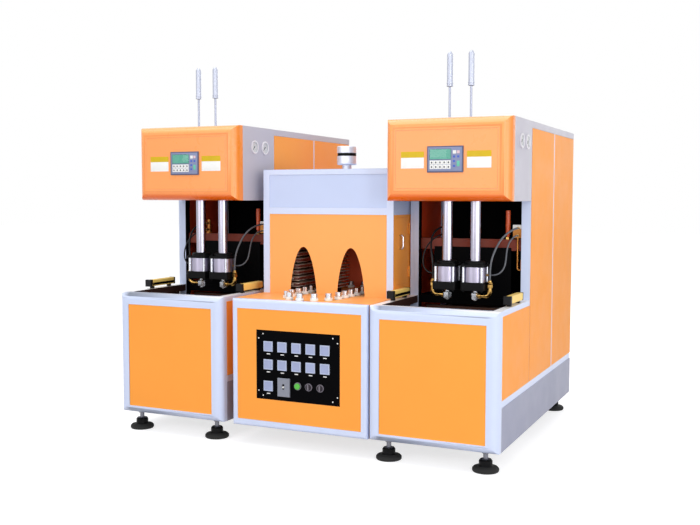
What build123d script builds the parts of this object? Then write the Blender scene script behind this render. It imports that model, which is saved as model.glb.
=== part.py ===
from build123d import *
import math
import os

# A semi-automatic machine that blows plastic bottles: two blow units, left and
# right, with an infrared preform oven bolted between them.
# Millimetres, +Z up, +Y towards the back, +X to the right seen from the front.
# The origin is on the floor, at the middle of the whole machine.

# Overall sizes of a blow unit
unit_width = 665.0
unit_depth = 1625.0
foot_height = 102.0
table_height = 777.0
head_bottom = table_height + 513.0
head_top = head_bottom + 409.0
column_y = 577.0
split_y = 1096.0

# Gaps between the cabinets, and the oven cabinet
left_gap = 64.0
right_gap = 7.0
oven_width = 780.0
oven_set_back = 10.0
oven_front_y = 350.0
oven_back_y = 900.0
oven_top = table_height + 683.0

# Sheet, tube and running clearances
sheet = 2.5
tube = 40.0
seam = 10.0
cover_strip = 14.0
fit_gap = 0.3
running = 0.06

# Rounded front frame of a blow unit
nose_depth = 60.0
nose_radius = 38.0
stile = 61.0
top_rail = 64.0
bottom_rail = 41.0
column_width = 50.0
sill_height = 315.0
sill_visible = 35.0
sill_lap = 14.0
table_rail = 47.0
table_strip = 27.0
roof_strip = 34.0
rear_recess = 12.0

# Head and rounded hood
head_inset = 20.0
hood_front_y = 155.0
hood_back_y = 238.0
hood_radius = 56.0
hood_wall = 3.0
groove = 2.0

# Operator controller on the hood
controller_width = 184.0
controller_height = 128.0
controller_z = head_top - 205.0
bezel_depth = 8.0
screen_width = 108.0
screen_height = 48.0
key_size = 13.0

# Pressure gauges on the right side of the head
gauge_ys = (360.0, 475.0)
gauge_z = head_top - 112.0
gauge_radius = 37.0
gauge_rim = 7.0
gauge_proud = 7.0
gauge_body = 26.0
needle_length = 22.0
needle_hub = 4.0
needle_pin = 1.5

# Blow head: tubes, seal cylinders and nozzles
blow_y = 420.0
nozzle_pitch = 150.0
tube_radius = 27.5
tube_wall = 4.5
flange_top = table_height + 208.0
collar_radius = 52.0
flange_size = 124.0
flange_plate = 12.0
barrel_top = table_height + 178.0
barrel_bottom = table_height + 100.0
cap_bottom = table_height + 58.0
barrel_radius = 58.0
barrel_bore = 48.0
tie_rod = 6.5
tie_offset = 48.0
piston_height = 16.0
piston_rod = 12.0
stretch_rod = 7.0
hex_flats = 40.0
hex_top = table_height + 53.0
nozzle_bottom = table_height + 10.0
seal_stroke = 30.0
elbow_reach = 78.0
elbow_radius = 11.0
elbow_bend = 24.0
elbow_top = table_height + 109.0
elbow_z = table_height + 29.0
port_height = table_height + 135.0
port_y = 440.0
port_reach = 70.0

# Stretch carriage
carriage_z = head_top - 99.0
carriage_plate = 12.0
stop_y = 380.0
stop_pitch = 113.0
stop_rod = 6.0
sleeve_radius = 15.0
sleeve_bottom = head_top + 171.0
sleeve_top = sleeve_bottom + 175.0
stretch_stroke = 164.0

# Mould clamp under the table
platen_width = 525.0
platen_top = table_height - 55.0
platen_thick = 40.0
daylight = 200.0
clamp_stroke = 90.0
tie_bar = 20.0
tie_bar_inset = 35.0
tie_bar_low = 400.0
tie_bar_high = table_height - 97.0
cross_plate_y = 1000.0
slide_height = 355.0
slide_width = 60.0
slide_thick = 15.0
cylinder_radius = 70.0
cylinder_length = 200.0
clamp_rod = 25.0
mould_bolt = 5.0
mould_bolt_x = 300.0
mould_bolt_z = 220.0

# Black plates and cross beam behind the nozzles
guard_width = 424.0
guard_top = table_height + 268.0
guard_thick = 6.0
beam_top = table_height + 312.0
beam_height = 59.0
beam_depth = 40.0

# Light curtains on the table rails
curtain_width = 36.0
curtain_height = 38.0
curtain_length = 244.0
curtain_y = 228.0
curtain_lift = 13.0
curtain_cap = 22.0

# Levelling feet
foot_radius = 65.0
foot_hub = 33.0
foot_stud = 12.0
foot_inset = 82.0
foot_lug = 50.0
foot_end = 85.0

# Oven cabinet
oven_stile = 32.0
oven_top_rail = 50.0
oven_bottom_rail = 37.0
oven_nose = 14.0
oven_ring = 30.0
oven_post = 38.0
header_bottom = table_height + 475.0
header_top = table_height + 654.0
arch_panel_top = table_height + 439.0
arch_pitch = 286.0
arch_width = 164.0
arch_height = 260.0
door_front_y = 390.0
door_back_y = 565.0
door_bottom = table_height + 68.0
door_top = table_height + 423.0
hinge_radius = 4.5
hinge_pin = 2.0
handle_low = table_height + 254.0
handle_high = table_height + 334.0
handle_reach = 25.0

# Control plate on the oven cabinet
plate_width = 484.0
plate_height = 364.0
plate_left = (oven_width - plate_width) / 2 - 1.0
plate_bottom = (foot_height + oven_bottom_rail + table_height - oven_top_rail - plate_height) / 2 + 4.0
plate_depth = 18.0
meter_size = 53.0
meter_pitch = 82.0
meter_left = 45.0
meter_rows = (158.0, 253.0)
meter_low = 45.0
device_z = 84.0
button_x = 244.0
knob_xs = (307.0, 373.0)
device_radius = 20.0
breaker_left = 129.0
breaker_bottom = 23.0
breaker_width = 70.0
breaker_height = 96.0
breaker_depth = 10.0
press_travel = 5.0

# Exhaust cap on the oven roof
vent_radius = 56.0
vent_neck = 27.0
vent_y = 612.0
vent_heights = (30.0, 79.0, 96.0, 134.0)

# Preform conveyor and lamps
loop_radius = 143.0
loop_front_y = 200.0
loop_back_y = 690.0
holder_count = 24
holder_radius = 21.0
spindle_radius = 17.0
holder_top = table_height + 38.0
chain_width = 26.0
chain_thick = 8.0
slot_width = 22.0
tooth_count = 32
shaft_radius = 15.0
lamp_radius = 6.0
lamp_pitch = 34.0
lamp_low = table_height + 45.0
lamp_bend = 34.0
bank_counts = (7, 6)
bank_reaches = (100.0, 160.0)
bank_lengths = (440.0, 185.0)

# Worked out from the sizes above
machine_width = 2 * unit_width + left_gap + oven_width + right_gap
left_x = -(machine_width + gauge_proud) / 2
oven_x = left_x + unit_width + left_gap
right_x = oven_x + oven_width + right_gap
middle_y = unit_depth / 2
units = (("left", left_x), ("right", right_x))
head_left = head_inset
head_right = unit_width
blow_x = (head_left + head_right) / 2
nozzle_xs = (blow_x - nozzle_pitch / 2, blow_x + nozzle_pitch / 2)
platen_left = blow_x - platen_width / 2
platen_right = blow_x + platen_width / 2
tie_bar_xs = (platen_left + tie_bar_inset, platen_right - tie_bar_inset)
panel_bottom = sill_height + sill_visible
panel_top = head_top - roof_strip - 1
beam_y = column_y + 35
guard_y = beam_y - guard_thick
platen_low = slide_height + fit_gap
front_face_y = blow_y - daylight
rear_face_y = blow_y + daylight
oven_middle = oven_width / 2

os.makedirs("parts", exist_ok=True)
nodes = {}


def block(x0, x1, y0, y1, z0, z1):
    """Box between two corners."""
    size = Box(x1 - x0, y1 - y0, z1 - z0)
    return Pos((x0 + x1) / 2, (y0 + y1) / 2, (z0 + z1) / 2) * size


def bar_z(x, y, z0, z1, radius):
    """Round bar that stands along Z."""
    return Pos(x, y, (z0 + z1) / 2) * Cylinder(radius, z1 - z0)


def bar_y(x, z, y0, y1, radius):
    """Round bar along Y."""
    return Pos(x, (y0 + y1) / 2, z) * Rot(X=90) * Cylinder(radius, y1 - y0)


def bar_x(y, z, x0, x1, radius):
    """Round bar along X."""
    return Pos((x0 + x1) / 2, y, z) * Rot(Y=90) * Cylinder(radius, x1 - x0)


def turned(points):
    """Solid of revolution about Z from a half section of radius and height."""
    face = make_face(Polyline(*[(r, 0, z) for r, z in points], close=True))
    return revolve(face, Axis.Z)


def front_edges(body):
    """Edges round the foremost face of a body."""
    return body.faces().sort_by(Axis.Y)[0].edges()


def hex_bar(x, y, z0, z1, flats):
    """Hexagon bar along Z, by the distance across its flats."""
    outline = Plane.XY.offset(z0) * RegularPolygon(flats / 2, 6, major_radius=False)
    return Pos(x, y, 0) * extrude(outline, z1 - z0)


def place(node, solids, x):
    """Set solids at a cabinet's left side and add them to a node."""
    shift = Pos(x, -middle_y, 0)
    for shape in solids:
        for solid in (shift * shape).solids():
            nodes.setdefault(node, []).append(solid)


def nosed_ring(width, y0, depth, side, rails, radius):
    """Two stiles and two rails of a front frame with a rounded nose all round."""
    low = foot_height + rails[0]
    high = table_height - rails[1]
    y1 = y0 + depth
    whole = fillet(front_edges(block(0, width, y0, y1, foot_height, table_height)), radius)
    stiles = [
        whole & block(0, side, y0, y1, foot_height, table_height),
        whole & block(width - side, width, y0, y1, foot_height, table_height),
    ]
    cross = [
        whole & block(side, width - side, y0, y1, foot_height, low),
        whole & block(side, width - side, y0, y1, high, table_height),
    ]
    return stiles + cross


def unit_frame():
    """Welded frame of a blow unit: nosed front ring, posts, rails and slides."""
    inner = sheet + tube
    back = unit_depth - rear_recess - sheet
    sill_low = sill_height - sill_lap
    sill_high = panel_bottom + sill_lap
    rail_low = table_height - tube
    top = head_top - sheet
    rails = (bottom_rail, top_rail)
    parts = nosed_ring(unit_width, 0, nose_depth, stile, rails, nose_radius)
    for x0, x1 in ((sheet, inner), (unit_width - inner, unit_width - sheet)):
        parts.append(block(x0, x1, nose_depth, back - tube, foot_height, foot_height + tube))
        parts.append(block(x0, x1, nose_depth, column_y, sill_low, sill_high))
        parts.append(block(x0, x1, column_y + tube + 7, split_y - tube / 2, sill_low, sill_high))
        parts.append(block(x0, x1, split_y + tube / 2, back - tube, sill_low, sill_high))
        parts.append(block(x0, x1, split_y - tube / 2, split_y + tube / 2, foot_height + tube, top - tube))
        parts.append(block(x0, x1, back - tube, back, foot_height, top - tube))
        parts.append(block(x0, x1, column_y, back, top - tube, top))
    for x0, x1 in ((sheet, column_width), (unit_width - column_width, unit_width - sheet)):
        parts.append(block(x0, x1, column_y, column_y + tube + 7, foot_height + tube, top - tube))
    for x0, x1 in ((0, sheet), (unit_width - sheet, unit_width)):
        strip = block(x0, x1, split_y - cover_strip / 2, split_y + cover_strip / 2, panel_bottom, panel_top)
        parts.append(strip)
    lug = foot_inset + foot_hub
    for x0, x1 in ((inner, lug), (unit_width - lug, unit_width - inner)):
        for y in (foot_end, unit_depth - foot_end):
            parts.append(block(x0, x1, y - foot_lug / 2, y + foot_lug / 2, foot_height, foot_height + 10))
    for x0, x1 in ((sheet, table_rail), (unit_width - table_rail, unit_width - sheet)):
        parts.append(block(x0, x1, nose_depth, column_y, rail_low, table_height))
    mid = unit_width - column_width
    parts.append(block(column_width, mid, guard_y - 2, guard_y + tube, rail_low, table_height))
    parts.append(block(inner, unit_width - inner, back - tube, back, foot_height, foot_height + tube))
    parts.append(block(inner, unit_width - inner, back - tube, back, sill_low, sill_high))
    parts.append(block(inner, unit_width - inner, back - tube, back, top - tube, top))
    for y0 in (front_face_y + tube, cross_plate_y - 2 * tube):
        parts.append(block(inner, unit_width - inner, y0, y0 + tube, sill_low, slide_height - slide_thick))
    slide_front = front_face_y - platen_thick - 30
    slide_back = cross_plate_y + platen_thick + 20
    for x0 in (platen_left, platen_right - slide_width):
        x1 = x0 + slide_width
        parts.append(block(x0, x1, slide_front, slide_back, slide_height - slide_thick, slide_height))
    return parts


def unit_panels():
    """Orange sheets of a blow unit: front, three on each side, and the louvred back."""
    low = foot_height + bottom_rail + fit_gap
    high = table_height - top_rail - fit_gap
    parts = [block(stile + fit_gap, unit_width - stile - fit_gap, 2, 2 + sheet, low, high)]
    spans = (
        (nose_depth + 2, column_y - 1, table_height - table_strip),
        (column_y + seam, split_y - cover_strip / 2, panel_top),
        (split_y + cover_strip / 2, unit_depth - sheet - 1, panel_top),
    )
    for y0, y1, top in spans:
        parts.append(block(0, sheet, y0, y1, panel_bottom, top))
        parts.append(block(unit_width - sheet, unit_width, y0, y1, panel_bottom, top))
    back_y = unit_depth - rear_recess
    back = block(sheet + 1, unit_width - sheet - 1, back_y - sheet, back_y, panel_bottom, panel_top)
    for x in (unit_width * 0.3, unit_width * 0.7):
        for row in range(6):
            z = table_height + 60 * row
            back -= block(x - 70, x + 70, back_y - sheet - 1, back_y + 1, z, z + 9)
    parts.append(back)
    return parts


def unit_skirts():
    """Grey kick plates on both sides and the back of a blow unit."""
    low = foot_height
    high = sill_height
    back_y = unit_depth - rear_recess
    return [
        block(0, sheet, nose_depth, unit_depth - 2, low, high),
        block(unit_width - sheet, unit_width, nose_depth, unit_depth - 2, low, high),
        block(sheet + 1, unit_width - sheet - 1, back_y - sheet, back_y, low, high),
    ]


def unit_head():
    """Grey folded sheet: head sides and floor, with the roof of the whole unit."""
    wall = sheet
    box = block(head_left, head_right, hood_back_y, column_y, head_bottom, head_top)
    low = head_bottom + wall
    high = head_top - wall
    box -= block(head_left + wall, head_right - wall, hood_back_y - 1, column_y + 1, low, high)
    roof = block(0, unit_width, column_y, unit_depth, head_top - roof_strip, head_top)
    roof -= block(wall, unit_width - wall, column_y - 1, unit_depth - wall, head_top - roof_strip - 1, high)
    head = box + roof
    for x in nozzle_xs:
        head -= bar_z(x, blow_y, head_bottom - 1, head_bottom + wall + 1, tube_radius + fit_gap)
    for x in (blow_x - stop_pitch / 2, blow_x + stop_pitch / 2):
        head += bar_z(x, stop_y, head_top - 14, head_top + 6, stop_rod + 6)
        head -= bar_z(x, stop_y, head_top - 15, head_top + 7, stop_rod + running)
    for y in gauge_ys:
        head -= bar_x(y, gauge_z, head_right - wall - 1, head_right + 1, gauge_radius - gauge_rim - 2)
    return [head]


def hood_block(edge, y0, y1):
    """Block as wide and high as the hood, less an edge all round."""
    return block(head_left + edge, head_right - edge, y0, y1, head_bottom + edge, head_top - edge)


def unit_hood():
    """Rounded orange front cover of the head, open at the back."""
    shell = fillet(front_edges(hood_block(0, hood_front_y, hood_back_y)), hood_radius)
    core = hood_block(hood_wall, hood_front_y + hood_wall, hood_back_y + 1)
    shell -= fillet(front_edges(core), hood_radius - hood_wall)
    edge = hood_radius + 4
    ring = hood_block(edge, hood_front_y - 1, hood_front_y + 1)
    ring -= hood_block(edge + groove, hood_front_y - 2, hood_front_y + 2)
    shell -= ring
    wide = controller_width / 2 - 8
    tall = controller_height / 2 - 8
    low = controller_z - tall
    high = controller_z + tall
    back = hood_front_y + hood_wall + 1
    return [shell - block(blow_x - wide, blow_x + wide, hood_front_y - 1, back, low, high)]


def unit_controller():
    """Operator controller: bezel, screen recess and raised membrane keys."""
    wide = controller_width / 2
    tall = controller_height / 2
    front = hood_front_y - bezel_depth
    low = controller_z - tall
    high = controller_z + tall
    body = block(blow_x - wide, blow_x + wide, front, hood_front_y, low, high)
    body = fillet(body.edges().filter_by(Axis.Y), 5)
    body = chamfer(front_edges(body), 2)
    left = blow_x - wide + 9
    body += block(left, blow_x + wide - 9, hood_front_y, hood_front_y + 45, low + 9, high - 9)
    left += 5
    top = high - 16
    body -= block(left, left + screen_width, front - 1, front + 2, top - screen_height, top)
    for row in range(2):
        for column in range(5):
            x = left + column * (key_size + 8)
            z = low + 12 + row * (key_size + 6)
            body += block(x, x + key_size + 4, front - 1, front, z, z + key_size)
    for row in range(3):
        for column in range(2):
            x = left + screen_width + 12 + column * (key_size + 6)
            z = low + 12 + row * (key_size + 9)
            body += block(x, x + key_size, front - 1, front, z, z + key_size - 2)
    return [body]


def gauge(y):
    """Pressure gauge case with its rim, dial plate and needle pin."""
    face = head_right
    case = bar_x(y, gauge_z, face - gauge_body, face, gauge_radius - gauge_rim - 2 - fit_gap)
    case += bar_x(y, gauge_z, face, face + gauge_proud, gauge_radius)
    case -= bar_x(y, gauge_z, face + 1, face + gauge_proud + 1, gauge_radius - gauge_rim)
    case += bar_x(y, gauge_z, face + 1, face + gauge_proud - 2, needle_pin)
    return case


def gauge_needle(y):
    """Pointer that turns on the pin of its gauge, resting at zero low on the left."""
    x0 = head_right + 2
    outline = Polyline(
        (0, -needle_hub / 2, 0),
        (0, -0.6, needle_length),
        (0, 0.6, needle_length),
        (0, needle_hub / 2, 0),
        (0, 1.6, -needle_length / 2.6),
        (0, -1.6, -needle_length / 2.6),
        close=True,
    )
    pointer = extrude(make_face(outline), 1.2, dir=(1, 0, 0))
    pointer = Pos(x0, y, gauge_z) * Rot(X=135) * pointer
    pointer += bar_x(y, gauge_z, x0, x0 + 1.8, needle_hub)
    return pointer - bar_x(y, gauge_z, x0 - 1, x0 + 3, needle_pin + running)


def guide_tubes():
    """Chromed stretch cylinder tubes that hang from the head floor."""
    floor = head_bottom + sheet
    parts = []
    for x in nozzle_xs:
        body = bar_z(x, blow_y, flange_top, floor + 30, tube_radius)
        body += bar_z(x, blow_y, floor, floor + 8, tube_radius + 15)
        body -= bar_z(x, blow_y, flange_top - 1, floor + 31, tube_radius - tube_wall)
        parts.append(body)
    return parts


def square_plate(x, z0, z1, size, corner):
    """Plate with rounded corners about a nozzle's axis."""
    outline = Plane.XY.offset(z0) * RectangleRounded(size, size, corner)
    return Pos(x, blow_y, 0) * extrude(outline, z1 - z0)


def seal_flanges():
    """Black top collar and bottom cap of each seal cylinder."""
    parts = []
    for x in nozzle_xs:
        top = square_plate(x, barrel_top, barrel_top + flange_plate, flange_size, 12)
        collar = bar_z(x, blow_y, barrel_top + flange_plate, flange_top, collar_radius)
        collar = chamfer(collar.edges().sort_by(Axis.Z)[-1], 5)
        top += collar
        top -= bar_z(x, blow_y, barrel_top - 1, flange_top + 1, piston_rod + running)
        cap = square_plate(x, cap_bottom, barrel_bottom, flange_size, 12)
        cap = chamfer(cap.faces().sort_by(Axis.Z)[0].edges(), 3)
        cap -= bar_z(x, blow_y, cap_bottom - 1, barrel_bottom + 1, piston_rod + running)
        parts += [top, cap]
    return parts


def seal_barrels():
    """Aluminium barrel, four tie rods and the side port of each seal cylinder."""
    parts = []
    for x in nozzle_xs:
        side = -1 if x < blow_x else 1
        barrel = bar_z(x, blow_y, barrel_bottom, barrel_top, barrel_radius)
        x0 = x + side * (barrel_radius - 8)
        x1 = x + side * port_reach
        barrel += bar_x(port_y, port_height, min(x0, x1), max(x0, x1), 6)
        barrel -= bar_z(x, blow_y, barrel_bottom - 1, barrel_top + 1, barrel_bore)
        parts.append(barrel)
        for dx in (-tie_offset, tie_offset):
            for dy in (-tie_offset, tie_offset):
                parts.append(bar_z(x + dx, blow_y + dy, barrel_bottom, barrel_top, tie_rod))
    return parts


def nozzle(x, side):
    """Piston, hollow rod and hexagon nozzle with its brass elbow on the outer side."""
    body = bar_z(x, blow_y, hex_top, barrel_top - 8, piston_rod)
    body += bar_z(x, blow_y, barrel_top - 8 - piston_height, barrel_top - 8, barrel_bore - running)
    body += hex_bar(x, blow_y, nozzle_bottom, hex_top, hex_flats)
    body += bar_z(x, blow_y, nozzle_bottom - 7, nozzle_bottom, piston_rod + 2)
    body -= bar_z(x, blow_y, nozzle_bottom - 8, barrel_top, stretch_rod + running)
    start = x + side * (hex_flats / 2)
    end = x + side * elbow_reach
    corner = (end, blow_y, elbow_z)
    path = FilletPolyline((start, blow_y, elbow_z), corner, (end, blow_y, elbow_top), radius=elbow_bend)
    section = Plane(origin=(start, blow_y, elbow_z), z_dir=(side, 0, 0)) * Circle(elbow_radius)
    elbow = sweep(section, path)
    tip = start + side * 12
    elbow += bar_x(blow_y, elbow_z, min(start, tip), max(start, tip), elbow_radius + 3)
    elbow += hex_bar(end, blow_y, elbow_top - 34, elbow_top - 20, 2 * elbow_radius + 4)
    elbow += bar_z(end, blow_y, elbow_top - 10, elbow_top, elbow_radius + 2)
    return [body, elbow]


def stretch_carriage():
    """Bridge plate with two stretch rods below and two sleeved stop rods above."""
    half = nozzle_pitch / 2 + 35
    top = carriage_z + carriage_plate
    parts = [block(blow_x - half, blow_x + half, stop_y - 25, blow_y + 25, carriage_z, top)]
    for x in nozzle_xs:
        parts.append(bar_z(x, blow_y, nozzle_bottom + 6, carriage_z, stretch_rod))
    for x in (blow_x - stop_pitch / 2, blow_x + stop_pitch / 2):
        parts.append(bar_z(x, stop_y, top, sleeve_bottom, stop_rod))
        sleeve = bar_z(x, stop_y, sleeve_bottom, sleeve_top, sleeve_radius)
        sleeve = chamfer(sleeve.edges().sort_by(Axis.Z)[-1], 14, 8)
        sleeve = chamfer(sleeve.edges().sort_by(Axis.Z)[0], 2)
        parts.append(sleeve)
    return parts


def platen_block(y0):
    """Plain plate as large as a platen."""
    y1 = y0 + platen_thick
    return block(platen_left, platen_right, y0, y1, platen_low, platen_top)


def platen(y0, bores):
    """Clamp platen with mould bolt holes in its inner face and bores for the tie bars."""
    plate = platen_block(y0)
    middle_z = (tie_bar_low + tie_bar_high) / 2
    for dx in (-mould_bolt_x / 2, mould_bolt_x / 2):
        for dz in (-mould_bolt_z / 2, mould_bolt_z / 2):
            plate -= bar_y(blow_x + dx, middle_z + dz, y0 - 1, y0 + platen_thick + 1, mould_bolt)
    for x in tie_bar_xs:
        for z in (tie_bar_low, tie_bar_high):
            plate -= bar_y(x, z, y0 - 1, y0 + platen_thick + 1, bores)
    return plate


def front_platen():
    """Front platen, tie bars with their nuts, and the cross plate that they pull."""
    y0 = front_face_y - platen_thick
    parts = [platen(y0, tie_bar)]
    cross = platen_block(cross_plate_y)
    back = cross_plate_y + platen_thick
    for x in tie_bar_xs:
        for z in (tie_bar_low, tie_bar_high):
            cross -= bar_y(x, z, cross_plate_y - 1, back + 1, tie_bar)
            bar = bar_y(x, z, y0 - 18, back + 18, tie_bar)
            bar += bar_y(x, z, y0 - 18, y0, tie_bar + 9)
            bar += bar_y(x, z, back, back + 18, tie_bar + 9)
            parts.append(bar)
    parts.append(cross)
    return parts


def clamp_cylinder():
    """Hollow clamp cylinder on the cross plate."""
    z = (tie_bar_low + tie_bar_high) / 2
    y0 = cross_plate_y - cylinder_length
    body = bar_y(blow_x, z, y0, cross_plate_y, cylinder_radius)
    body -= bar_y(blow_x, z, y0 + 14, cross_plate_y - 14, cylinder_radius - 10)
    body -= bar_y(blow_x, z, y0 - 1, y0 + 15, clamp_rod + running)
    return [body]


def rear_platen():
    """Rear platen that slides on the tie bars, with the cylinder's rod and piston."""
    z = (tie_bar_low + tie_bar_high) / 2
    back = rear_face_y + platen_thick
    end = cross_plate_y - 14 - 4
    rod = bar_y(blow_x, z, back, end, clamp_rod)
    rod += bar_y(blow_x, z, end - 20, end, cylinder_radius - 10 - running)
    return [platen(rear_face_y, tie_bar + running), rod]


def guard_plates():
    """Black guard behind the nozzles, inner shelf and partition."""
    inner = sheet + tube
    other = unit_width - inner
    half = guard_width / 2
    shelf_y = guard_y + tube
    wall_y = split_y + tube / 2
    guard = block(blow_x - half, blow_x + half, guard_y, guard_y + guard_thick, table_height, guard_top)
    shelf = block(inner, other, shelf_y, wall_y, table_height, table_height + sheet)
    wall = block(inner, other, wall_y, wall_y + sheet, table_height, head_top - sheet - tube)
    return [guard, shelf, wall]


def cross_beam():
    """Painted beam between the columns, over the guard plate."""
    low = beam_top - beam_height
    return [block(column_width, unit_width - column_width, beam_y, beam_y + beam_depth, low, beam_top)]


left_fitting = (185.0, beam_y + beam_depth / 2)
fitting_reach = 34.0
inlet_z = 520.0
fitting_heights = (335.0, 373.0)
fitting_levels = [table_height + height for height in fitting_heights]
valve_x = unit_width - column_width - 18
valve_y = 605.0
valve_reach = 30.0
filter_x = 530.0
filter_radius = 12.5
filter_length = 128.0


def air_fittings():
    """Brass fittings behind the nozzles and the air inlets at the back."""
    x, y = left_fitting
    post = bar_z(x, y, beam_top, fitting_levels[1] + 22, 11)
    post += hex_bar(x, y, beam_top, beam_top + 10, 30)
    for z in fitting_levels:
        post += bar_y(x, z, y - fitting_reach, y, 7)
    low = fitting_levels[0] - 14
    high = fitting_levels[1] + 16
    valve = block(valve_x - valve_reach, unit_width - column_width, valve_y - 15, valve_y + 15, low, high)
    for z in fitting_levels:
        valve += bar_y(valve_x, z, valve_y - 15 - 17, valve_y - 15, 7)
    loop_x = valve_x - 8
    loop = FilletPolyline(
        (loop_x, valve_y, low),
        (loop_x, valve_y, low - 168),
        (loop_x + 20, valve_y, low - 168),
        (loop_x + 20, valve_y, low - 113),
        radius=9.9,
    )
    section = Plane(origin=(loop_x, valve_y, low), z_dir=(0, 0, -1)) * Circle(4.5)
    inlets = []
    back_y = unit_depth - rear_recess
    for dx in (-60, 60):
        inlet = bar_y(blow_x + dx, inlet_z, back_y, unit_depth - 1, 14)
        inlet -= bar_y(blow_x + dx, inlet_z, back_y - 1, unit_depth + 1, 8)
        inlets.append(inlet)
    bowl_low = beam_top + 24
    bowl = bar_z(filter_x, y, bowl_low, bowl_low + filter_length, filter_radius)
    bowl = fillet(bowl.edges(), 3)
    bowl += bar_z(filter_x, y, beam_top, bowl_low, filter_radius / 2)
    bowl += hex_bar(filter_x, y, beam_top, beam_top + 12, 2 * filter_radius)
    return [post, valve + sweep(section, loop), bowl] + inlets


def light_curtains():
    """Light curtain bars on both table rails, each with two end caps and two feet."""
    parts = []
    low = table_height + curtain_lift
    high = low + curtain_height
    end = curtain_y + curtain_length
    edge = 8.0
    for x0 in (edge, unit_width - edge - curtain_width):
        x1 = x0 + curtain_width
        bar = block(x0, x1, curtain_y + curtain_cap, end - curtain_cap / 2, low, high)
        bar = chamfer(bar.edges().filter_by(Axis.Y), 4)
        parts.append(bar)
        parts.append(block(x0 - 1, x1 + 1, curtain_y, curtain_y + curtain_cap, low - 1, high + 1))
        parts.append(block(x0, x1, end - curtain_cap / 2, end, low - 1, high + 1))
        for y in (curtain_y + 40, end - 40):
            parts.append(block(x0 + 8, x1 - 8, y - 9, y + 9, table_height, low))
    return parts


def levelling_feet():
    """Four levelling feet: wide base, stepped hub, stud and lock nut."""
    profile = (
        (0, 0),
        (foot_radius - 4, 0),
        (foot_radius, 5),
        (foot_radius, 15),
        (foot_radius - 6, 22),
        (foot_hub + 4, 27),
        (foot_hub, 32),
        (foot_hub, 52),
        (foot_hub - 6, 60),
        (foot_stud, 62),
        (foot_stud, foot_height),
        (0, foot_height),
    )
    foot = turned(profile) + hex_bar(0, 0, foot_height - 14, foot_height, 2 * foot_stud + 12)
    parts = []
    for x in (foot_inset, unit_width - foot_inset):
        for y in (foot_end, unit_depth - foot_end):
            parts.append(Pos(x, y, 0) * foot)
    return parts


def hose(name, points, diameter):
    """Plain tube of an air hose along straight runs with arcs as large as they allow."""
    points = [Vector(x, y, table_height + height) for x, y, height in points]
    radii = []
    for before, here, after in zip(points, points[1:], points[2:]):
        turn = math.radians((here - before).get_angle(after - here))
        shorter = min((here - before).length, (after - here).length)
        radii.append(0.45 * shorter / math.tan(turn / 2))
    route = FilletPolyline(*points, radius=radii)
    start = Plane(origin=points[0], z_dir=points[1] - points[0])
    body = sweep(start * Circle(diameter / 2), route)
    share = body.volume / (math.pi * diameter**2 / 4 * route.length)
    print(name, "radii", [round(r) for r in radii], "length", round(route.length), "share", round(share, 3))
    return [body]


hose_left = nozzle_xs[0] - elbow_reach
hose_right = nozzle_xs[1] + elbow_reach
port_left = nozzle_xs[0] - port_reach
port_right = nozzle_xs[1] + port_reach
elbow_over = elbow_top - table_height
port_over = port_height - table_height
blow_hose = 10.0
pilot_hose = 8.0
blow_left = (
    (hose_left, blow_y, elbow_over + fit_gap),
    (hose_left, blow_y, 163),
    (181, 428, 221),
    (165, 450, 277),
    (157, 486, 323),
    (168, 520, 358),
    (left_fitting[0], 553, fitting_heights[1]),
    (left_fitting[0], 598, fitting_heights[1]),
)
blow_right = (
    (hose_right, blow_y, elbow_over + fit_gap),
    (hose_right, blow_y, 163),
    (500, 430, 215),
    (514, 446, 265),
    (536, 460, 313),
    (563, 478, 347),
    (586, 505, 365),
    (valve_x, 540, fitting_heights[1]),
    (valve_x, 573, fitting_heights[1]),
)
pilot_left = (
    (port_left, port_y, port_over),
    (port_left - 31, port_y, port_over),
    (138, 449, 149),
    (118, 460, 178),
    (114, 474, 223),
    (123, 492, 265),
    (138, 508, 293),
    (158, 526, 315),
    (176, 547, 329),
    (left_fitting[0], 572, fitting_heights[0]),
    (left_fitting[0], 598, fitting_heights[0]),
)
pilot_right = (
    (port_right, port_y, port_over),
    (port_right + 31, port_y, port_over),
    (544, 449, 149),
    (561, 460, 178),
    (565, 470, 219),
    (564, 486, 263),
    (569, 500, 295),
    (579, 514, 317),
    (589, 530, 330),
    (valve_x, 551, fitting_heights[0]),
    (valve_x, 573, fitting_heights[0]),
)
hose_routes = {
    "hose_blow_left": blow_left,
    "hose_blow_right": blow_right,
    "hose_pilot_left": pilot_left,
    "hose_pilot_right": pilot_right,
}


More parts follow.
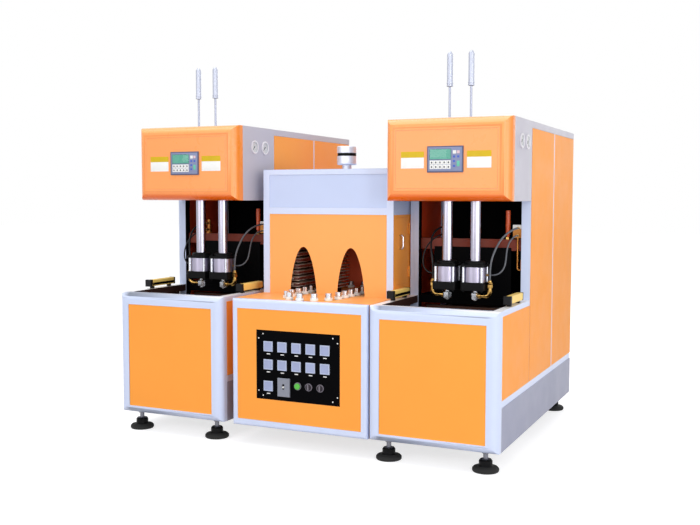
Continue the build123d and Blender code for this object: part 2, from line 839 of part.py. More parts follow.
def oven_frame():
    """Frame of the oven cabinet, with spacers to the blow units on both sides."""
    front = oven_set_back
    depth = oven_ring
    rails = (oven_bottom_rail, oven_top_rail)
    parts = nosed_ring(oven_width, front, depth, oven_stile, rails, oven_nose)
    top = oven_top - sheet
    post_y = oven_back_y - tube
    back = oven_back_y - sheet
    under = table_height - sheet
    for x0, x1 in ((sheet, oven_post), (oven_width - oven_post, oven_width - sheet)):
        parts.append(block(x0, x1, front + depth, post_y, foot_height, foot_height + tube))
        parts.append(block(x0, x1, front + depth, post_y, under - tube, under))
        parts.append(block(x0, x1, post_y, back, foot_height, top))
        parts.append(block(x0, x1, oven_front_y + 3, oven_front_y + 25, table_height, top))
        parts.append(block(x0, x1, oven_front_y + 25, post_y, top - tube, top))
    inner = oven_width - oven_post
    parts.append(block(oven_post, inner, post_y, back, foot_height, foot_height + tube))
    parts.append(block(oven_post, inner, post_y, back, top - tube, top))
    parts.append(block(oven_post, inner, oven_front_y, oven_front_y + 25, arch_panel_top, header_bottom))
    parts.append(block(oven_post, inner, oven_front_y, oven_front_y + 25, header_top, top))
    for x0, x1 in ((0, oven_post), (inner, oven_width)):
        parts.append(block(x0, x1, oven_front_y, oven_front_y + 3, table_height, top))
    for y in (240, 480):
        for z in (table_height - 347, table_height - 127):
            parts.append(bar_x(y, z, -left_gap, 0, 16))
            parts.append(bar_x(y, z, oven_width, oven_width + right_gap, 16))
    return parts


def loop_face(offset):
    """Oval outline of the conveyor loop, widened or narrowed by an offset."""
    length = loop_back_y - loop_front_y
    radius = loop_radius + offset
    return Rot(Z=90) * SlotCenterToCenter(length, 2 * radius)


def loop_slot(z0, z1):
    """Oval slot in the table that the holders' spindles run in."""
    face = loop_face(slot_width / 2) - loop_face(-slot_width / 2)
    slot = extrude(face, z1 - z0)
    return Pos(oven_middle, (loop_front_y + loop_back_y) / 2, z0) * slot


def oven_panels():
    """Orange sheets of the oven cabinet: front, sides, back, table top and its island."""
    front = oven_set_back + 2
    low = foot_height + oven_bottom_rail + fit_gap
    high = table_height - oven_top_rail - fit_gap
    face = block(oven_stile + fit_gap, oven_width - oven_stile - fit_gap, front, front + sheet, low, high)
    right = plate_left + plate_width
    top = plate_bottom + plate_height
    parts = [face - block(plate_left, right, front - 1, front + sheet + 1, plate_bottom, top)]
    side_y = oven_set_back + oven_ring + 1
    inner = oven_width - sheet
    wall_y = oven_back_y - sheet
    for x0 in (0, oven_width - sheet):
        parts.append(block(x0, x0 + sheet, side_y, oven_back_y, foot_height, table_height))
    y0 = oven_front_y + 3
    left = block(0, sheet, y0, oven_back_y, table_height, arch_panel_top)
    right = block(inner, oven_width, y0, oven_back_y, table_height, arch_panel_top)
    door_y0 = door_front_y - 1
    door_y1 = door_back_y + 5
    right -= block(inner - 1, oven_width + 1, door_y0, door_y1, door_bottom - 1, door_top + 1)
    parts += [left, right + door_lugs()]
    parts.append(block(sheet, inner, wall_y, oven_back_y, foot_height, oven_top - sheet))
    table = block(sheet, inner, side_y, wall_y, table_height - sheet, table_height)
    post_y = oven_back_y - tube - fit_gap
    for x0, x1 in ((sheet, oven_post), (oven_width - oven_post, oven_width - sheet)):
        table -= block(x0 - fit_gap, x1 + fit_gap, post_y, oven_back_y, table_height - 5, table_height + 1)
    table -= loop_slot(table_height - sheet - 1, table_height + 1)
    parts.append(table)
    return parts


door_hinge_x = oven_width + hinge_radius + fit_gap
door_hinge_y = door_back_y + 2
hinge_levels = (door_bottom + 50, door_top - 70)


def door_lugs():
    """Fixed hinge knuckles and pins on the oven's side sheet."""
    lugs = None
    for z in hinge_levels:
        pin = bar_z(door_hinge_x, door_hinge_y, z - 20 + fit_gap, z + 40 - fit_gap, hinge_pin)
        lugs = pin if lugs is None else lugs + pin
        for z0 in (z - 20 + fit_gap, z + 20 + fit_gap):
            z1 = z0 + 20 - 2 * fit_gap
            lugs += bar_z(door_hinge_x, door_hinge_y, z0, z1, hinge_radius)
            lugs += block(oven_width - 1, door_hinge_x, door_hinge_y + 1, door_hinge_y + 12, z0, z1)
    return lugs


def side_door():
    """Service door in the oven's right side, with its hinge knuckles."""
    leaf = block(oven_width - sheet, oven_width, door_front_y, door_back_y, door_bottom, door_top)
    for z in hinge_levels:
        z0 = z + fit_gap
        z1 = z + 20 - fit_gap
        leaf += bar_z(door_hinge_x, door_hinge_y, z0, z1, hinge_radius)
        leaf += block(oven_width - sheet, door_hinge_x, door_back_y - 12, door_hinge_y - 1, z0, z1)
        leaf -= bar_z(door_hinge_x, door_hinge_y, z - 1, z + 21, hinge_pin + running)
    return [leaf]


def door_handle():
    """Bar handle of the service door."""
    x0 = oven_width
    y = door_front_y + 48
    reach = FilletPolyline(
        (x0, y, handle_low + 5),
        (x0 + handle_reach - 5, y, handle_low + 5),
        (x0 + handle_reach - 5, y, handle_high - 5),
        (x0, y, handle_high - 5),
        radius=11,
    )
    return [sweep(Plane(origin=(x0, y, handle_low + 5), z_dir=(1, 0, 0)) * Circle(5), reach)]


def arch(x):
    """Bullet-shaped opening for the preforms, from the table up."""
    half = arch_width / 2
    high = arch_height
    right = Bezier((half, 0), (half * 0.95, high * 0.38), (half * 0.55, high), (0, high))
    left = Bezier((0, high), (-half * 0.55, high), (-half * 0.95, high * 0.38), (-half, 0))
    base = Line((-half, 0), (half, 0))
    face = Plane.XZ * make_face([right, left, base])
    return Pos(x, oven_front_y + 20, table_height) * extrude(face, 40)


def oven_front():
    """Orange front sheet of the oven with two arched openings."""
    y0 = oven_front_y + 3 + fit_gap
    low = table_height
    face = block(oven_post + fit_gap, oven_width - oven_post - fit_gap, y0, y0 + sheet, low, arch_panel_top)
    for x in (oven_middle - arch_pitch / 2, oven_middle + arch_pitch / 2):
        face -= arch(x)
    return [face]


def oven_roof():
    """Pale roof with side aprons, and the header sheet over the arches."""
    roof = block(0, oven_width, oven_front_y, oven_back_y, oven_top - sheet, oven_top)
    for x0 in (0, oven_width - sheet):
        roof += block(x0, x0 + sheet, oven_front_y + 3, oven_back_y, arch_panel_top, oven_top)
    y0 = oven_front_y + 3
    edge = oven_post + fit_gap
    low = header_bottom + fit_gap
    header = block(edge, oven_width - edge, y0, y0 + sheet, low, header_top - fit_gap)
    return [roof, header]


def control_plate():
    """Black plate with collars for the button and knobs, and its screws."""
    y0 = plate_depth
    lap = 12
    low = plate_bottom - lap
    high = plate_bottom + plate_height + lap
    plate = block(plate_left - lap, plate_left + plate_width + lap, y0 - 3.5, y0, low, high)
    z = plate_bottom + device_z
    parts = []
    for dx in (button_x,) + knob_xs:
        ring = bar_y(plate_left + dx, z, y0 - 3.5 - 5, y0 - 3.5, device_radius)
        ring -= bar_y(plate_left + dx, z, y0 - 20, y0 - 3.5, device_radius - 4)
        parts.append(ring)
        plate -= bar_y(plate_left + dx, z, y0 - 5, y0 + 1, 6 + running)
    for dx, dz in ((14, 44), (40, 20)):
        for x in (plate_left + dx, plate_left + plate_width - dx):
            for z in (plate_bottom + dz, plate_bottom + plate_height - dz):
                parts.append(bar_y(x, z, y0 - 3.5 - 1.5, y0 - 3.5, 3.5))
    return [plate] + parts


def meters():
    """Eleven square panel meters in two rows of five and one below."""
    y0 = plate_depth - 3.5
    corners = [(meter_left + meter_pitch * i, z) for z in meter_rows for i in range(5)]
    corners.append((meter_left, meter_low))
    parts = []
    for x, z in corners:
        x0 = plate_left + x
        z0 = plate_bottom + z
        body = chamfer(front_edges(block(x0, x0 + meter_size, y0 - 7, y0, z0, z0 + meter_size)), 1.5)
        body -= block(x0 + 5, x0 + meter_size - 5, y0 - 8, y0 - 5, z0 + 5, z0 + meter_size - 5)
        parts.append(body)
    return parts


lever_x = plate_left + breaker_left + breaker_width / 2
lever_z = plate_bottom + breaker_bottom + breaker_height * 0.55
lever_y = plate_depth - 3.5 - 3


def breaker():
    """Circuit breaker housing with the slot for its lever."""
    y0 = plate_depth - 3.5
    x0 = plate_left + breaker_left
    z0 = plate_bottom + breaker_bottom
    body = block(x0, x0 + breaker_width, y0 - breaker_depth, y0, z0, z0 + breaker_height)
    body = chamfer(front_edges(body), 1.5)
    body -= block(lever_x - 6, lever_x + 6, y0 - breaker_depth - 1, y0 - 0.5, lever_z - 14, lever_z + 14)
    body += bar_x(lever_y, lever_z, lever_x - 7, lever_x + 7, 1.5)
    return [body]


def breaker_lever():
    """Toggle lever on its cross pin, resting in the low position."""
    lever = block(lever_x - 5, lever_x + 5, lever_y - 11, lever_y, lever_z - 2.5, lever_z + 2.5)
    lever += bar_x(lever_y, lever_z, lever_x - 5.6, lever_x + 5.6, 2.4)
    lever = Pos(0, lever_y, lever_z) * Rot(X=22) * Pos(0, -lever_y, -lever_z) * lever
    return [lever - bar_x(lever_y, lever_z, lever_x - 8, lever_x + 8, 1.5 + running)]


def start_button():
    """Round push button in its collar, with the stem through the plate."""
    x = plate_left + button_x
    z = plate_bottom + device_z
    y0 = plate_depth - 3.5
    cap = bar_y(x, z, y0 - 12, y0 - press_travel - 1, device_radius - 4 - fit_gap)
    cap = chamfer(front_edges(cap), 1.5)
    return [cap + bar_y(x, z, y0 - press_travel - 1, plate_depth + 6, 6)]


def knob(dx):
    """Selector knob with a raised grip bar."""
    x = plate_left + dx
    z = plate_bottom + device_z
    y0 = plate_depth - 3.5
    body = bar_y(x, z, y0 - 9, y0 - fit_gap, device_radius - 4 - fit_gap)
    body += block(x - 3.5, x + 3.5, y0 - 13.5, y0 - 8, z - device_radius + 6, z + device_radius - 6)
    return [body + bar_y(x, z, y0 - 1, plate_depth + 6, 6)]


def vent_cap():
    """Exhaust cap: neck and lower drum, dark band, and upper drum."""
    low, band, lid, top = [oven_top + height for height in vent_heights]
    x = oven_middle
    base = bar_z(x, vent_y, oven_top, low, vent_neck)
    drum = bar_z(x, vent_y, low, band, vent_radius)
    drum = fillet(drum.edges().sort_by(Axis.Z)[0], 8)
    ring = bar_z(x, vent_y, band, lid, vent_radius - 3)
    cover = bar_z(x, vent_y, lid, top, vent_radius)
    cover = fillet(cover.edges().sort_by(Axis.Z)[-1], 6)
    return [base + drum, ring, cover]


def loop_point(distance):
    """Place on the oval path and its heading, at a distance along the path."""
    straight = loop_back_y - loop_front_y
    bend = math.pi * loop_radius
    s = distance % (2 * straight + 2 * bend)
    if s < straight:
        return oven_middle + loop_radius, loop_front_y + s, 90
    s -= straight
    if s < bend:
        a = s / loop_radius
        x = oven_middle + loop_radius * math.cos(a)
        return x, loop_back_y + loop_radius * math.sin(a), 90 + math.degrees(a)
    s -= bend
    if s < straight:
        return oven_middle - loop_radius, loop_back_y - s, 270
    a = math.pi + (s - straight) / loop_radius
    x = oven_middle + loop_radius * math.cos(a)
    return x, loop_front_y + loop_radius * math.sin(a), 90 + math.degrees(a)


chain_top = table_height - sheet - fit_gap
chain_low = chain_top - chain_thick
rail_top = chain_low - 130
rail_low = rail_top - tube


def preform_conveyor():
    """Chain links with their preform holders, two cross rails and the gear motor."""
    parts = []
    pitch = (2 * (loop_back_y - loop_front_y) + 2 * math.pi * loop_radius) / holder_count
    link = extrude(SlotOverall(pitch - 2.5, chain_width), chain_thick)
    for i in range(holder_count):
        x, y, heading = loop_point(pitch * i)
        holder = Pos(x, y, chain_low) * Rot(Z=heading) * link
        holder += bar_z(x, y, chain_top, table_height + fit_gap, slot_width / 2 - 1)
        holder += bar_z(x, y, table_height + fit_gap, table_height + 14, holder_radius)
        holder += bar_z(x, y, table_height + 14, holder_top, spindle_radius)
        parts.append(holder)
    for y in (loop_front_y, loop_back_y):
        rail = block(sheet, oven_width - sheet, y - tube / 2, y + tube / 2, rail_low, rail_top)
        rail -= bar_z(oven_middle, y, rail_low - 1, rail_top + 1, shaft_radius + running)
        parts.append(rail)
    motor = bar_z(oven_middle, loop_back_y, rail_low - 180, rail_low, 62)
    y0 = loop_back_y - 50
    motor += block(oven_middle - 70, oven_middle + 70, y0, y0 + 100, rail_low - 40, rail_low)
    motor -= bar_z(oven_middle, loop_back_y, rail_low - 24, rail_low + 1, shaft_radius + running)
    return parts + [motor]


def sprocket(y):
    """Chain sprocket with its shaft, which hangs by a collar on a cross rail."""
    tip = loop_radius - chain_width / 2 - fit_gap
    wheel = bar_z(oven_middle, y, chain_low, chain_top, tip)
    for i in range(tooth_count):
        a = 2 * math.pi * i / tooth_count
        r = tip + 1
        wheel -= bar_z(oven_middle + r * math.cos(a), y + r * math.sin(a), chain_low - 1, chain_top + 1, 7)
    for i in range(4):
        a = math.pi / 2 * i
        r = tip * 0.55
        wheel -= bar_z(oven_middle + r * math.cos(a), y + r * math.sin(a), chain_low - 1, chain_top + 1, 30)
    wheel += bar_z(oven_middle, y, rail_low - 20, chain_low, shaft_radius)
    wheel += bar_z(oven_middle, y, rail_top + fit_gap, rail_top + 14, shaft_radius + 9)
    return [wheel]


def bank(x, length, count):
    """Reflector and bent quartz lamps of one heating bank, facing +X."""
    y0 = oven_front_y + 40
    high = lamp_low + lamp_pitch * count
    plate = block(x - 4, x, y0, y0 + length, table_height, high)
    lamps = []
    for i in range(count):
        z = lamp_low + lamp_pitch * i
        path = FilletPolyline(
            (x, y0 + 15, z),
            (x + 45, y0 + 15, z),
            (x + 45, y0 + length - 15, z),
            (x, y0 + length - 15, z),
            radius=lamp_bend,
        )
        lamps.append(sweep(Plane(origin=(x, y0 + 15, z), z_dir=(1, 0, 0)) * Circle(lamp_radius), path))
    return plate, lamps


def build_unit(side, x):
    """Add every node of one blow unit."""
    place(side + "_frame", unit_frame(), x)
    place(side + "_panels", unit_panels(), x)
    place("skirts", unit_skirts(), x)
    place(side + "_head_box", unit_head(), x)
    place(side + "_hood", unit_hood(), x)
    place("controllers", unit_controller(), x)
    place("gauges", [gauge(y) for y in gauge_ys], x)
    place(side + "_needle_front", [gauge_needle(gauge_ys[0])], x)
    place(side + "_needle_rear", [gauge_needle(gauge_ys[1])], x)
    place("guide_tubes", guide_tubes(), x)
    place("seal_flanges", seal_flanges(), x)
    place("seal_barrels", seal_barrels(), x)
    place(side + "_nozzle_left", nozzle(nozzle_xs[0], -1), x)
    place(side + "_nozzle_right", nozzle(nozzle_xs[1], 1), x)
    place(side + "_stretch_carriage", stretch_carriage(), x)
    place("front_platens", front_platen(), x)
    place("clamp_cylinders", clamp_cylinder(), x)
    place(side + "_rear_platen", rear_platen(), x)
    place("guard_plates", guard_plates(), x)
    place("cross_beams", cross_beam(), x)
    place("air_fittings", air_fittings(), x)
    place("light_curtains", light_curtains(), x)
    place("levelling_feet", levelling_feet(), x)
    for name, points in hose_routes.items():
        diameter = blow_hose if "blow" in name else pilot_hose
        place(side + "_" + name, hose(side + "_" + name, points, diameter), x)


def build_oven(x):
    """Add every node of the oven cabinet."""
    place("oven_frame", oven_frame(), x)
    place("oven_panels", oven_panels(), x)
    place("oven_front", oven_front(), x)
    place("oven_roof", oven_roof(), x)
    place("oven_door", side_door(), x)
    place("oven_door_handle", door_handle(), x)
    place("control_plate", control_plate(), x)
    place("meters", meters(), x)
    place("breaker", breaker(), x)
    place("breaker_lever", breaker_lever(), x)
    place("start_button", start_button(), x)
    place("knob_left", knob(knob_xs[0]), x)
    place("knob_right", knob(knob_xs[1]), x)
    place("vent_cap", vent_cap(), x)
    place("preform_conveyor", preform_conveyor(), x)
    place("sprocket_front", sprocket(loop_front_y), x)
    place("sprocket_rear", sprocket(loop_back_y), x)
    arch_xs = (oven_middle - arch_pitch / 2, oven_middle + arch_pitch / 2)
    for centre, reach, length, count in zip(arch_xs, bank_reaches, bank_lengths, bank_counts):
        plate, lamps = bank(centre - reach, length, count)
        place("reflectors", [plate], x)
        place("lamps", lamps, x)


for side, x in units:
    build_unit(side, x)
build_oven(oven_x)

for name, solids in nodes.items():
    export_step(Compound(children=solids), f"parts/{name}.step")
print(len(nodes), "nodes")
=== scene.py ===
"""Looks of a semi-automatic bottle blow moulding machine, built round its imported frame.

Everything is in metres and in the frame's own axes: +X to the right seen from the front, +Y to
the back, +Z up, with the origin on the floor at the middle of the machine. The sub-assemblies of
the machine hold their sizes in millimetres, and the studio holds its own in metres.
"""

import logging
import math
from collections.abc import Callable, Iterable, Sequence
from dataclasses import dataclass, field
from enum import Enum
from typing import Any

import bmesh
import bpy
from mathutils import Matrix, Vector


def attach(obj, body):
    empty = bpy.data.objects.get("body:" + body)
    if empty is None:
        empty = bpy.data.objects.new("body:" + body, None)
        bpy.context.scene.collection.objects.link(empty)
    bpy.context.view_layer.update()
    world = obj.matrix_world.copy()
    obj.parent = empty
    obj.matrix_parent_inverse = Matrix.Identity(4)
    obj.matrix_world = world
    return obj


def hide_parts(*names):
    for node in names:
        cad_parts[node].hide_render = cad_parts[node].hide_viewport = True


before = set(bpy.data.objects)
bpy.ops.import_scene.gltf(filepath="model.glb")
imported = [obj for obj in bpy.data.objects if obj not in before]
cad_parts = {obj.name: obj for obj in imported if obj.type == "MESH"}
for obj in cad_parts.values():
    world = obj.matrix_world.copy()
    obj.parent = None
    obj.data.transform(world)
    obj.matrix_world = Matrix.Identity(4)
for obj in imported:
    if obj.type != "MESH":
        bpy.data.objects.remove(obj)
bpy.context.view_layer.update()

log = logging.getLogger("blow_moulding_machine")

MM = 0.001
ROOT = "machine"

# Sizes of the cabinets in metres, as in the frame
UNIT_WIDTH = 0.665
UNIT_DEPTH = 1.625
MACHINE_WIDTH = 2.181
GAUGE_PROUD = 0.007
OVEN_GAP = 0.064
MIDDLE_Y = UNIT_DEPTH / 2
LEFT_X = -(MACHINE_WIDTH + GAUGE_PROUD) / 2
RIGHT_X = LEFT_X + MACHINE_WIDTH - UNIT_WIDTH
OVEN_X = LEFT_X + UNIT_WIDTH + OVEN_GAP
# Height of the tables in millimetres, and how far a face may lie beside it and still belong to it
TABLE = 777.0
SKIN = 1.0

# A face looks along an axis from this share of its normal on, and stands upright below the other
FACING = 0.9
STANDING = 0.5
# Points of a mesh that lie closer than this are one
SAME = 1e-6
# Edges that bend by more degrees than the first stay sharp, those below the second dissolve
SHARP_DEG = 35.0
FLAT_DEG = 0.6
# Width of the broken edges of large and of small pieces
EDGE = 0.0006
FINE_EDGE = 0.0005

# Range that the noise is spread over, because its values crowd round the middle
NOISE_LOW, NOISE_HIGH = 0.3, 0.7
# Cosines of the bend at which an edge begins to be rubbed, and is rubbed most
RUB_FROM, RUB_FULL = 0.995, 0.85
# How far wiping takes the roughness down and up, in patches of this share of the clouds
WIPE_DOWN, WIPE_UP = 0.05, 0.06
WIPE_SHARE = 0.4
LOWEST_ROUGHNESS = 0.02
COAT_ROUGHNESS = 0.12
BUMP_STRENGTH = 0.6
BEVEL_SAMPLES = 4
DRAWN_SCALE = 0.02

# Half profiles of screw and bolt heads, as shares of their radius and height
SCREW_HEAD = ((0, 0.45), (0.5, 0.45), (0.5, 1), (0.72, 0.95), (0.95, 0.6), (1, 0.2), (1, -0.2))
BOLT_WASHER = ((0, 0), (1.3, 0), (1.3, 0.2), (0, 0.2))
BOLT_HEAD = ((0, 0.2), (1, 0.2), (1, 0.92), (0.86, 1), (0, 1))


class Axis(Enum):
    """Directions that a turned or pressed piece can point in."""

    X = Vector((1, 0, 0))
    Y = Vector((0, 1, 0))
    Z = Vector((0, 0, 1))
    DOWN = Vector((0, 0, -1))

    def matrix(self) -> Matrix:
        """Rotation that turns +Z to this direction."""
        return self.value.to_track_quat("Z", "Y").to_matrix().to_4x4()


def linear(code: str) -> tuple[float, float, float, float]:
    """Turns an sRGB hex colour to linear.

    Args:
        code: Colour such as "#FFA255".

    Returns:
        Linear red, green, blue and an alpha of one.
    """
    values = [int(code[i : i + 2], 16) / 255 for i in (1, 3, 5)]
    red, green, blue = (v / 12.92 if v <= 0.04045 else ((v + 0.055) / 1.055) ** 2.4 for v in values)
    return red, green, blue, 1.0


def add_node(
    tree: bpy.types.NodeTree, kind: str, inputs: dict[Any, Any] | None = None, **settings: Any
) -> bpy.types.Node:
    """Adds a node with its settings and links.

    Args:
        tree: Tree that gets the node.
        kind: Type name of the node.
        inputs: Value or source socket for each input, by name or number.
        settings: Properties of the node.

    Returns:
        The new node.
    """
    node = tree.nodes.new(kind)
    for name, value in settings.items():
        setattr(node, name, value)
    for key, value in (inputs or {}).items():
        socket = node.inputs[key]
        if isinstance(value, bpy.types.NodeSocket):
            tree.links.new(value, socket)
        else:
            socket.default_value = value
    return node


def empty_tree(owner: bpy.types.Material | bpy.types.World) -> bpy.types.NodeTree:
    """Switches the nodes of a new material or world on and clears them.

    Args:
        owner: The material or world.

    Returns:
        Its empty node tree.
    """
    owner.use_nodes = True
    owner.node_tree.nodes.clear()
    return owner.node_tree


def new_object(name: str, data: bpy.types.ID) -> bpy.types.Object:
    """Makes an object at the origin and puts it in the scene.

    Args:
        name: Name of the object.
        data: Its mesh, curve, light or camera.

    Returns:
        The new object.
    """
    made = bpy.data.objects.new(name, data)
    bpy.context.scene.collection.objects.link(made)
    return made


class Grain(Enum):
    """How the fine pattern of a surface runs."""

    NONE = "none"
    ALONG_Y = "along y"


@dataclass(frozen=True)
class Finish:
    """Base of all finishes: a principled surface with a fine pattern at a real size."""

    name: str
    color: str
    roughness: float = 0.5
    metallic: float = 0.0
    ior: float = 1.5
    coat: float = 0.0
    specular: float = 0.5
    grain_mm: float = 1.0
    bump_mm: float = 0.02
    tint: float = 0.04
    cloud_mm: float = 260.0
    edge_mm: float = 0.0
    edge_color: str = "#FFFFFF"
    edge_share: float = 0.0
    grain: Grain = Grain.NONE

    def material(self) -> bpy.types.Material:
        """Finds or builds the Blender material of this finish.

        Returns:
            The material, one for each name.
        """
        found = bpy.data.materials.get(self.name)
        if found:
            return found
        material = bpy.data.materials.new(self.name)
        tree = empty_tree(material)
        surface = self.surface(tree)
        add_node(tree, "ShaderNodeOutputMaterial", {"Surface": surface})
        material.diffuse_color = linear(self.color)
        material.metallic = self.metallic
        material.roughness = self.roughness
        return material

    def stretch(self) -> tuple[float, float, float]:
        """Scale of the pattern along each axis, drawn out along the grain."""
        return (1, DRAWN_SCALE, 1) if self.grain is Grain.ALONG_Y else (1, 1, 1)

    def pattern(
        self, tree: bpy.types.NodeTree, size_mm: float, detail: float
    ) -> bpy.types.NodeSocket:
        """Noise of one real size in Object coordinates.

        Args:
            tree: Material tree.
            size_mm: Width of one grain in millimetres.
            detail: Octaves of the noise.

        Returns:
            Socket with the noise between zero and one.
        """
        coords = add_node(tree, "ShaderNodeTexCoord")
        place = add_node(
            tree, "ShaderNodeMapping", {"Vector": coords.outputs["Object"], "Scale": self.stretch()}
        )
        noise = add_node(
            tree,
            "ShaderNodeTexNoise",
            {"Vector": place.outputs[0], "Scale": 1 / (size_mm * MM), "Detail": detail},
        )
        return noise.outputs["Fac"]

    def base(self, tree: bpy.types.NodeTree) -> bpy.types.NodeSocket:
        """Base colour with broad, faint clouds and paint rubbed thin along the edges.

        Args:
            tree: Material tree.

        Returns:
            Socket with the colour.
        """
        clouds = self.pattern(tree, self.cloud_mm, 3)
        shade = add_node(
            tree,
            "ShaderNodeMapRange",
            {
                "Value": clouds,
                "From Min": NOISE_LOW,
                "From Max": NOISE_HIGH,
                "To Min": 1 - self.tint,
                "To Max": 1.0,
            },
        )
        color = add_node(
            tree,
            "ShaderNodeMix",
            {"Factor": 1.0, 6: linear(self.color), 7: shade.outputs[0]},
            data_type="RGBA",
            blend_type="MULTIPLY",
        )
        result = color.outputs[2]
        if self.edge_share:
            result = self.rubbed(tree, result)
        return result

    def rubbed(self, tree: bpy.types.NodeTree, base: bpy.types.NodeSocket) -> bpy.types.NodeSocket:
        """Mixes the edge colour in where the surface bends within the edge width.

        Args:
            tree: Material tree.
            base: Colour away from the edges.

        Returns:
            Socket with the mixed colour.
        """
        geometry = add_node(tree, "ShaderNodeNewGeometry")
        radius = self.edge_mm * MM
        bevel = add_node(tree, "ShaderNodeBevel", {"Radius": radius}, samples=BEVEL_SAMPLES)
        dot = add_node(
            tree,
            "ShaderNodeVectorMath",
            {0: geometry.outputs["Normal"], 1: bevel.outputs[0]},
            operation="DOT_PRODUCT",
        )
        mask = add_node(
            tree,
            "ShaderNodeMapRange",
            {
                "Value": dot.outputs["Value"],
                "From Min": RUB_FROM,
                "From Max": RUB_FULL,
                "To Max": self.edge_share,
            },
        )
        mixed = add_node(
            tree,
            "ShaderNodeMix",
            {"Factor": mask.outputs[0], 6: base, 7: linear(self.edge_color)},
            data_type="RGBA",
        )
        return mixed.outputs[2]

    def normal(self, tree: bpy.types.NodeTree) -> bpy.types.NodeSocket:
        """Fine relief of the surface, on edges rounded by a millimetre or so.

        Args:
            tree: Material tree.

        Returns:
            Socket with the normal.
        """
        if not self.edge_mm:
            smooth = add_node(tree, "ShaderNodeNewGeometry").outputs["Normal"]
        else:
            radius = self.edge_mm * MM
            bevel = add_node(tree, "ShaderNodeBevel", {"Radius": radius}, samples=BEVEL_SAMPLES)
            smooth = bevel.outputs[0]
        if not self.bump_mm:
            return smooth
        relief = self.pattern(tree, self.grain_mm, 2)
        links = {
            "Height": relief,
            "Distance": self.bump_mm * MM,
            "Strength": BUMP_STRENGTH,
            "Normal": smooth,
        }
        return add_node(tree, "ShaderNodeBump", links).outputs[0]

    def gloss(self, tree: bpy.types.NodeTree) -> bpy.types.NodeSocket | float:
        """Roughness that wanders a little, as on wiped surfaces, but not on ground ones.

        Args:
            tree: Material tree.

        Returns:
            Socket with the roughness, or the plain number.
        """
        if not (self.bump_mm or self.edge_mm):
            return self.roughness
        wipe = self.pattern(tree, self.cloud_mm * WIPE_SHARE, 4)
        spread = add_node(
            tree,
            "ShaderNodeMapRange",
            {
                "Value": wipe,
                "From Min": NOISE_LOW,
                "From Max": NOISE_HIGH,
                "To Min": max(LOWEST_ROUGHNESS, self.roughness - WIPE_DOWN),
                "To Max": min(1.0, self.roughness + WIPE_UP),
            },
        )
        return spread.outputs[0]

    def surface(self, tree: bpy.types.NodeTree) -> bpy.types.NodeSocket:
        """Principled shader of the finish.

        Args:
            tree: Material tree.

        Returns:
            Socket with the shader.
        """
        shader = add_node(
            tree,
            "ShaderNodeBsdfPrincipled",
            {
                "Base Color": self.base(tree),
                "Roughness": self.gloss(tree),
                "Metallic": self.metallic,
                "IOR": self.ior,
                "Specular IOR Level": self.specular,
                "Coat Weight": self.coat,
                "Coat Roughness": COAT_ROUGHNESS,
                "Normal": self.normal(tree),
            },
        )
        return shader.outputs[0]


@dataclass(frozen=True)
class Enamel(Finish):
    """Stoved enamel on sheet steel: smooth, a little orange peel, thin on rubbed edges."""

    roughness: float = 0.34
    coat: float = 0.25
    grain_mm: float = 2.4
    bump_mm: float = 0.035
    tint: float = 0.05
    edge_mm: float = 1.4
    edge_share: float = 0.28


@dataclass(frozen=True)
class PaintedShadingEnamel(Enamel):
    """Enamel on a rounded cover or frame, with light and shade painted where its faces turn away.

    The limits are shares of the normal: towards the back for the rounds, upwards for the rest.
    """

    # Painted shade on the rounds and underneath, painted light on the crown
    round_shade_color: str = "#F28A26"
    crown_highlight_color: str = "#F8A863"
    under_shade_color: str = "#F06A10"
    round_from: float = -0.85
    round_full: float = -0.25
    crown_from: float = 0.1
    crown_full: float = 0.6
    under_from: float = -0.05
    under_full: float = -0.65

    def base(self, tree: bpy.types.NodeTree) -> bpy.types.NodeSocket:
        """Base colour with painted shade on the round edges and underneath, and painted light on
        their crown.

        Args:
            tree: Material tree.

        Returns:
            Socket with the colour.
        """
        color = super().base(tree)
        facing = add_node(tree, "ShaderNodeTexCoord")
        parts = add_node(tree, "ShaderNodeSeparateXYZ", {"Vector": facing.outputs["Normal"]})
        for part, start, full, shade in (
            ("Y", self.round_from, self.round_full, self.round_shade_color),
            ("Z", self.crown_from, self.crown_full, self.crown_highlight_color),
            ("Z", self.under_from, self.under_full, self.under_shade_color),
        ):
            turned = add_node(
                tree,
                "ShaderNodeMapRange",
                {"Value": parts.outputs[part], "From Min": start, "From Max": full},
            )
            mixed = add_node(
                tree,
                "ShaderNodeMix",
                {"Factor": turned.outputs[0], 6: color, 7: linear(shade)},
                data_type="RGBA",
            )
            color = mixed.outputs[2]
        return color


@dataclass(frozen=True)
class Metal(Finish):
    """Bare metal, with its grain drawn out where it was turned or brushed."""

    roughness: float = 0.3
    metallic: float = 1.0
    grain_mm: float = 0.7
    bump_mm: float = 0.012
    tint: float = 0.10
    cloud_mm: float = 40.0
    edge_mm: float = 0.6


@dataclass(frozen=True)
class Moulded(Finish):
    """Moulded plastic or rubber with a fine spark-eroded grain."""

    roughness: float = 0.48
    grain_mm: float = 0.8
    bump_mm: float = 0.03
    tint: float = 0.06
    cloud_mm: float = 60.0
    edge_mm: float = 0.5
    edge_share: float = 0.12
    edge_color: str = "#8A8A90"


@dataclass(frozen=True)
class Glowing(Finish):
    """A surface that also gives some light of its own, such as a lamp or a screen."""

    glow: float = 1.0
    glow_color: str = "#FF9A5A"

    def surface(self, tree: bpy.types.NodeTree) -> bpy.types.NodeSocket:
        """Principled shader with a steady glow.

        Args:
            tree: Material tree.

        Returns:
            Socket with the shader.
        """
        shader = add_node(
            tree,
            "ShaderNodeBsdfPrincipled",
            {
                "Base Color": self.base(tree),
                "Roughness": self.gloss(tree),
                "Metallic": self.metallic,
                "Normal": self.normal(tree),
                "Emission Color": linear(self.glow_color),
                "Emission Strength": self.glow,
            },
        )
        return shader.outputs[0]


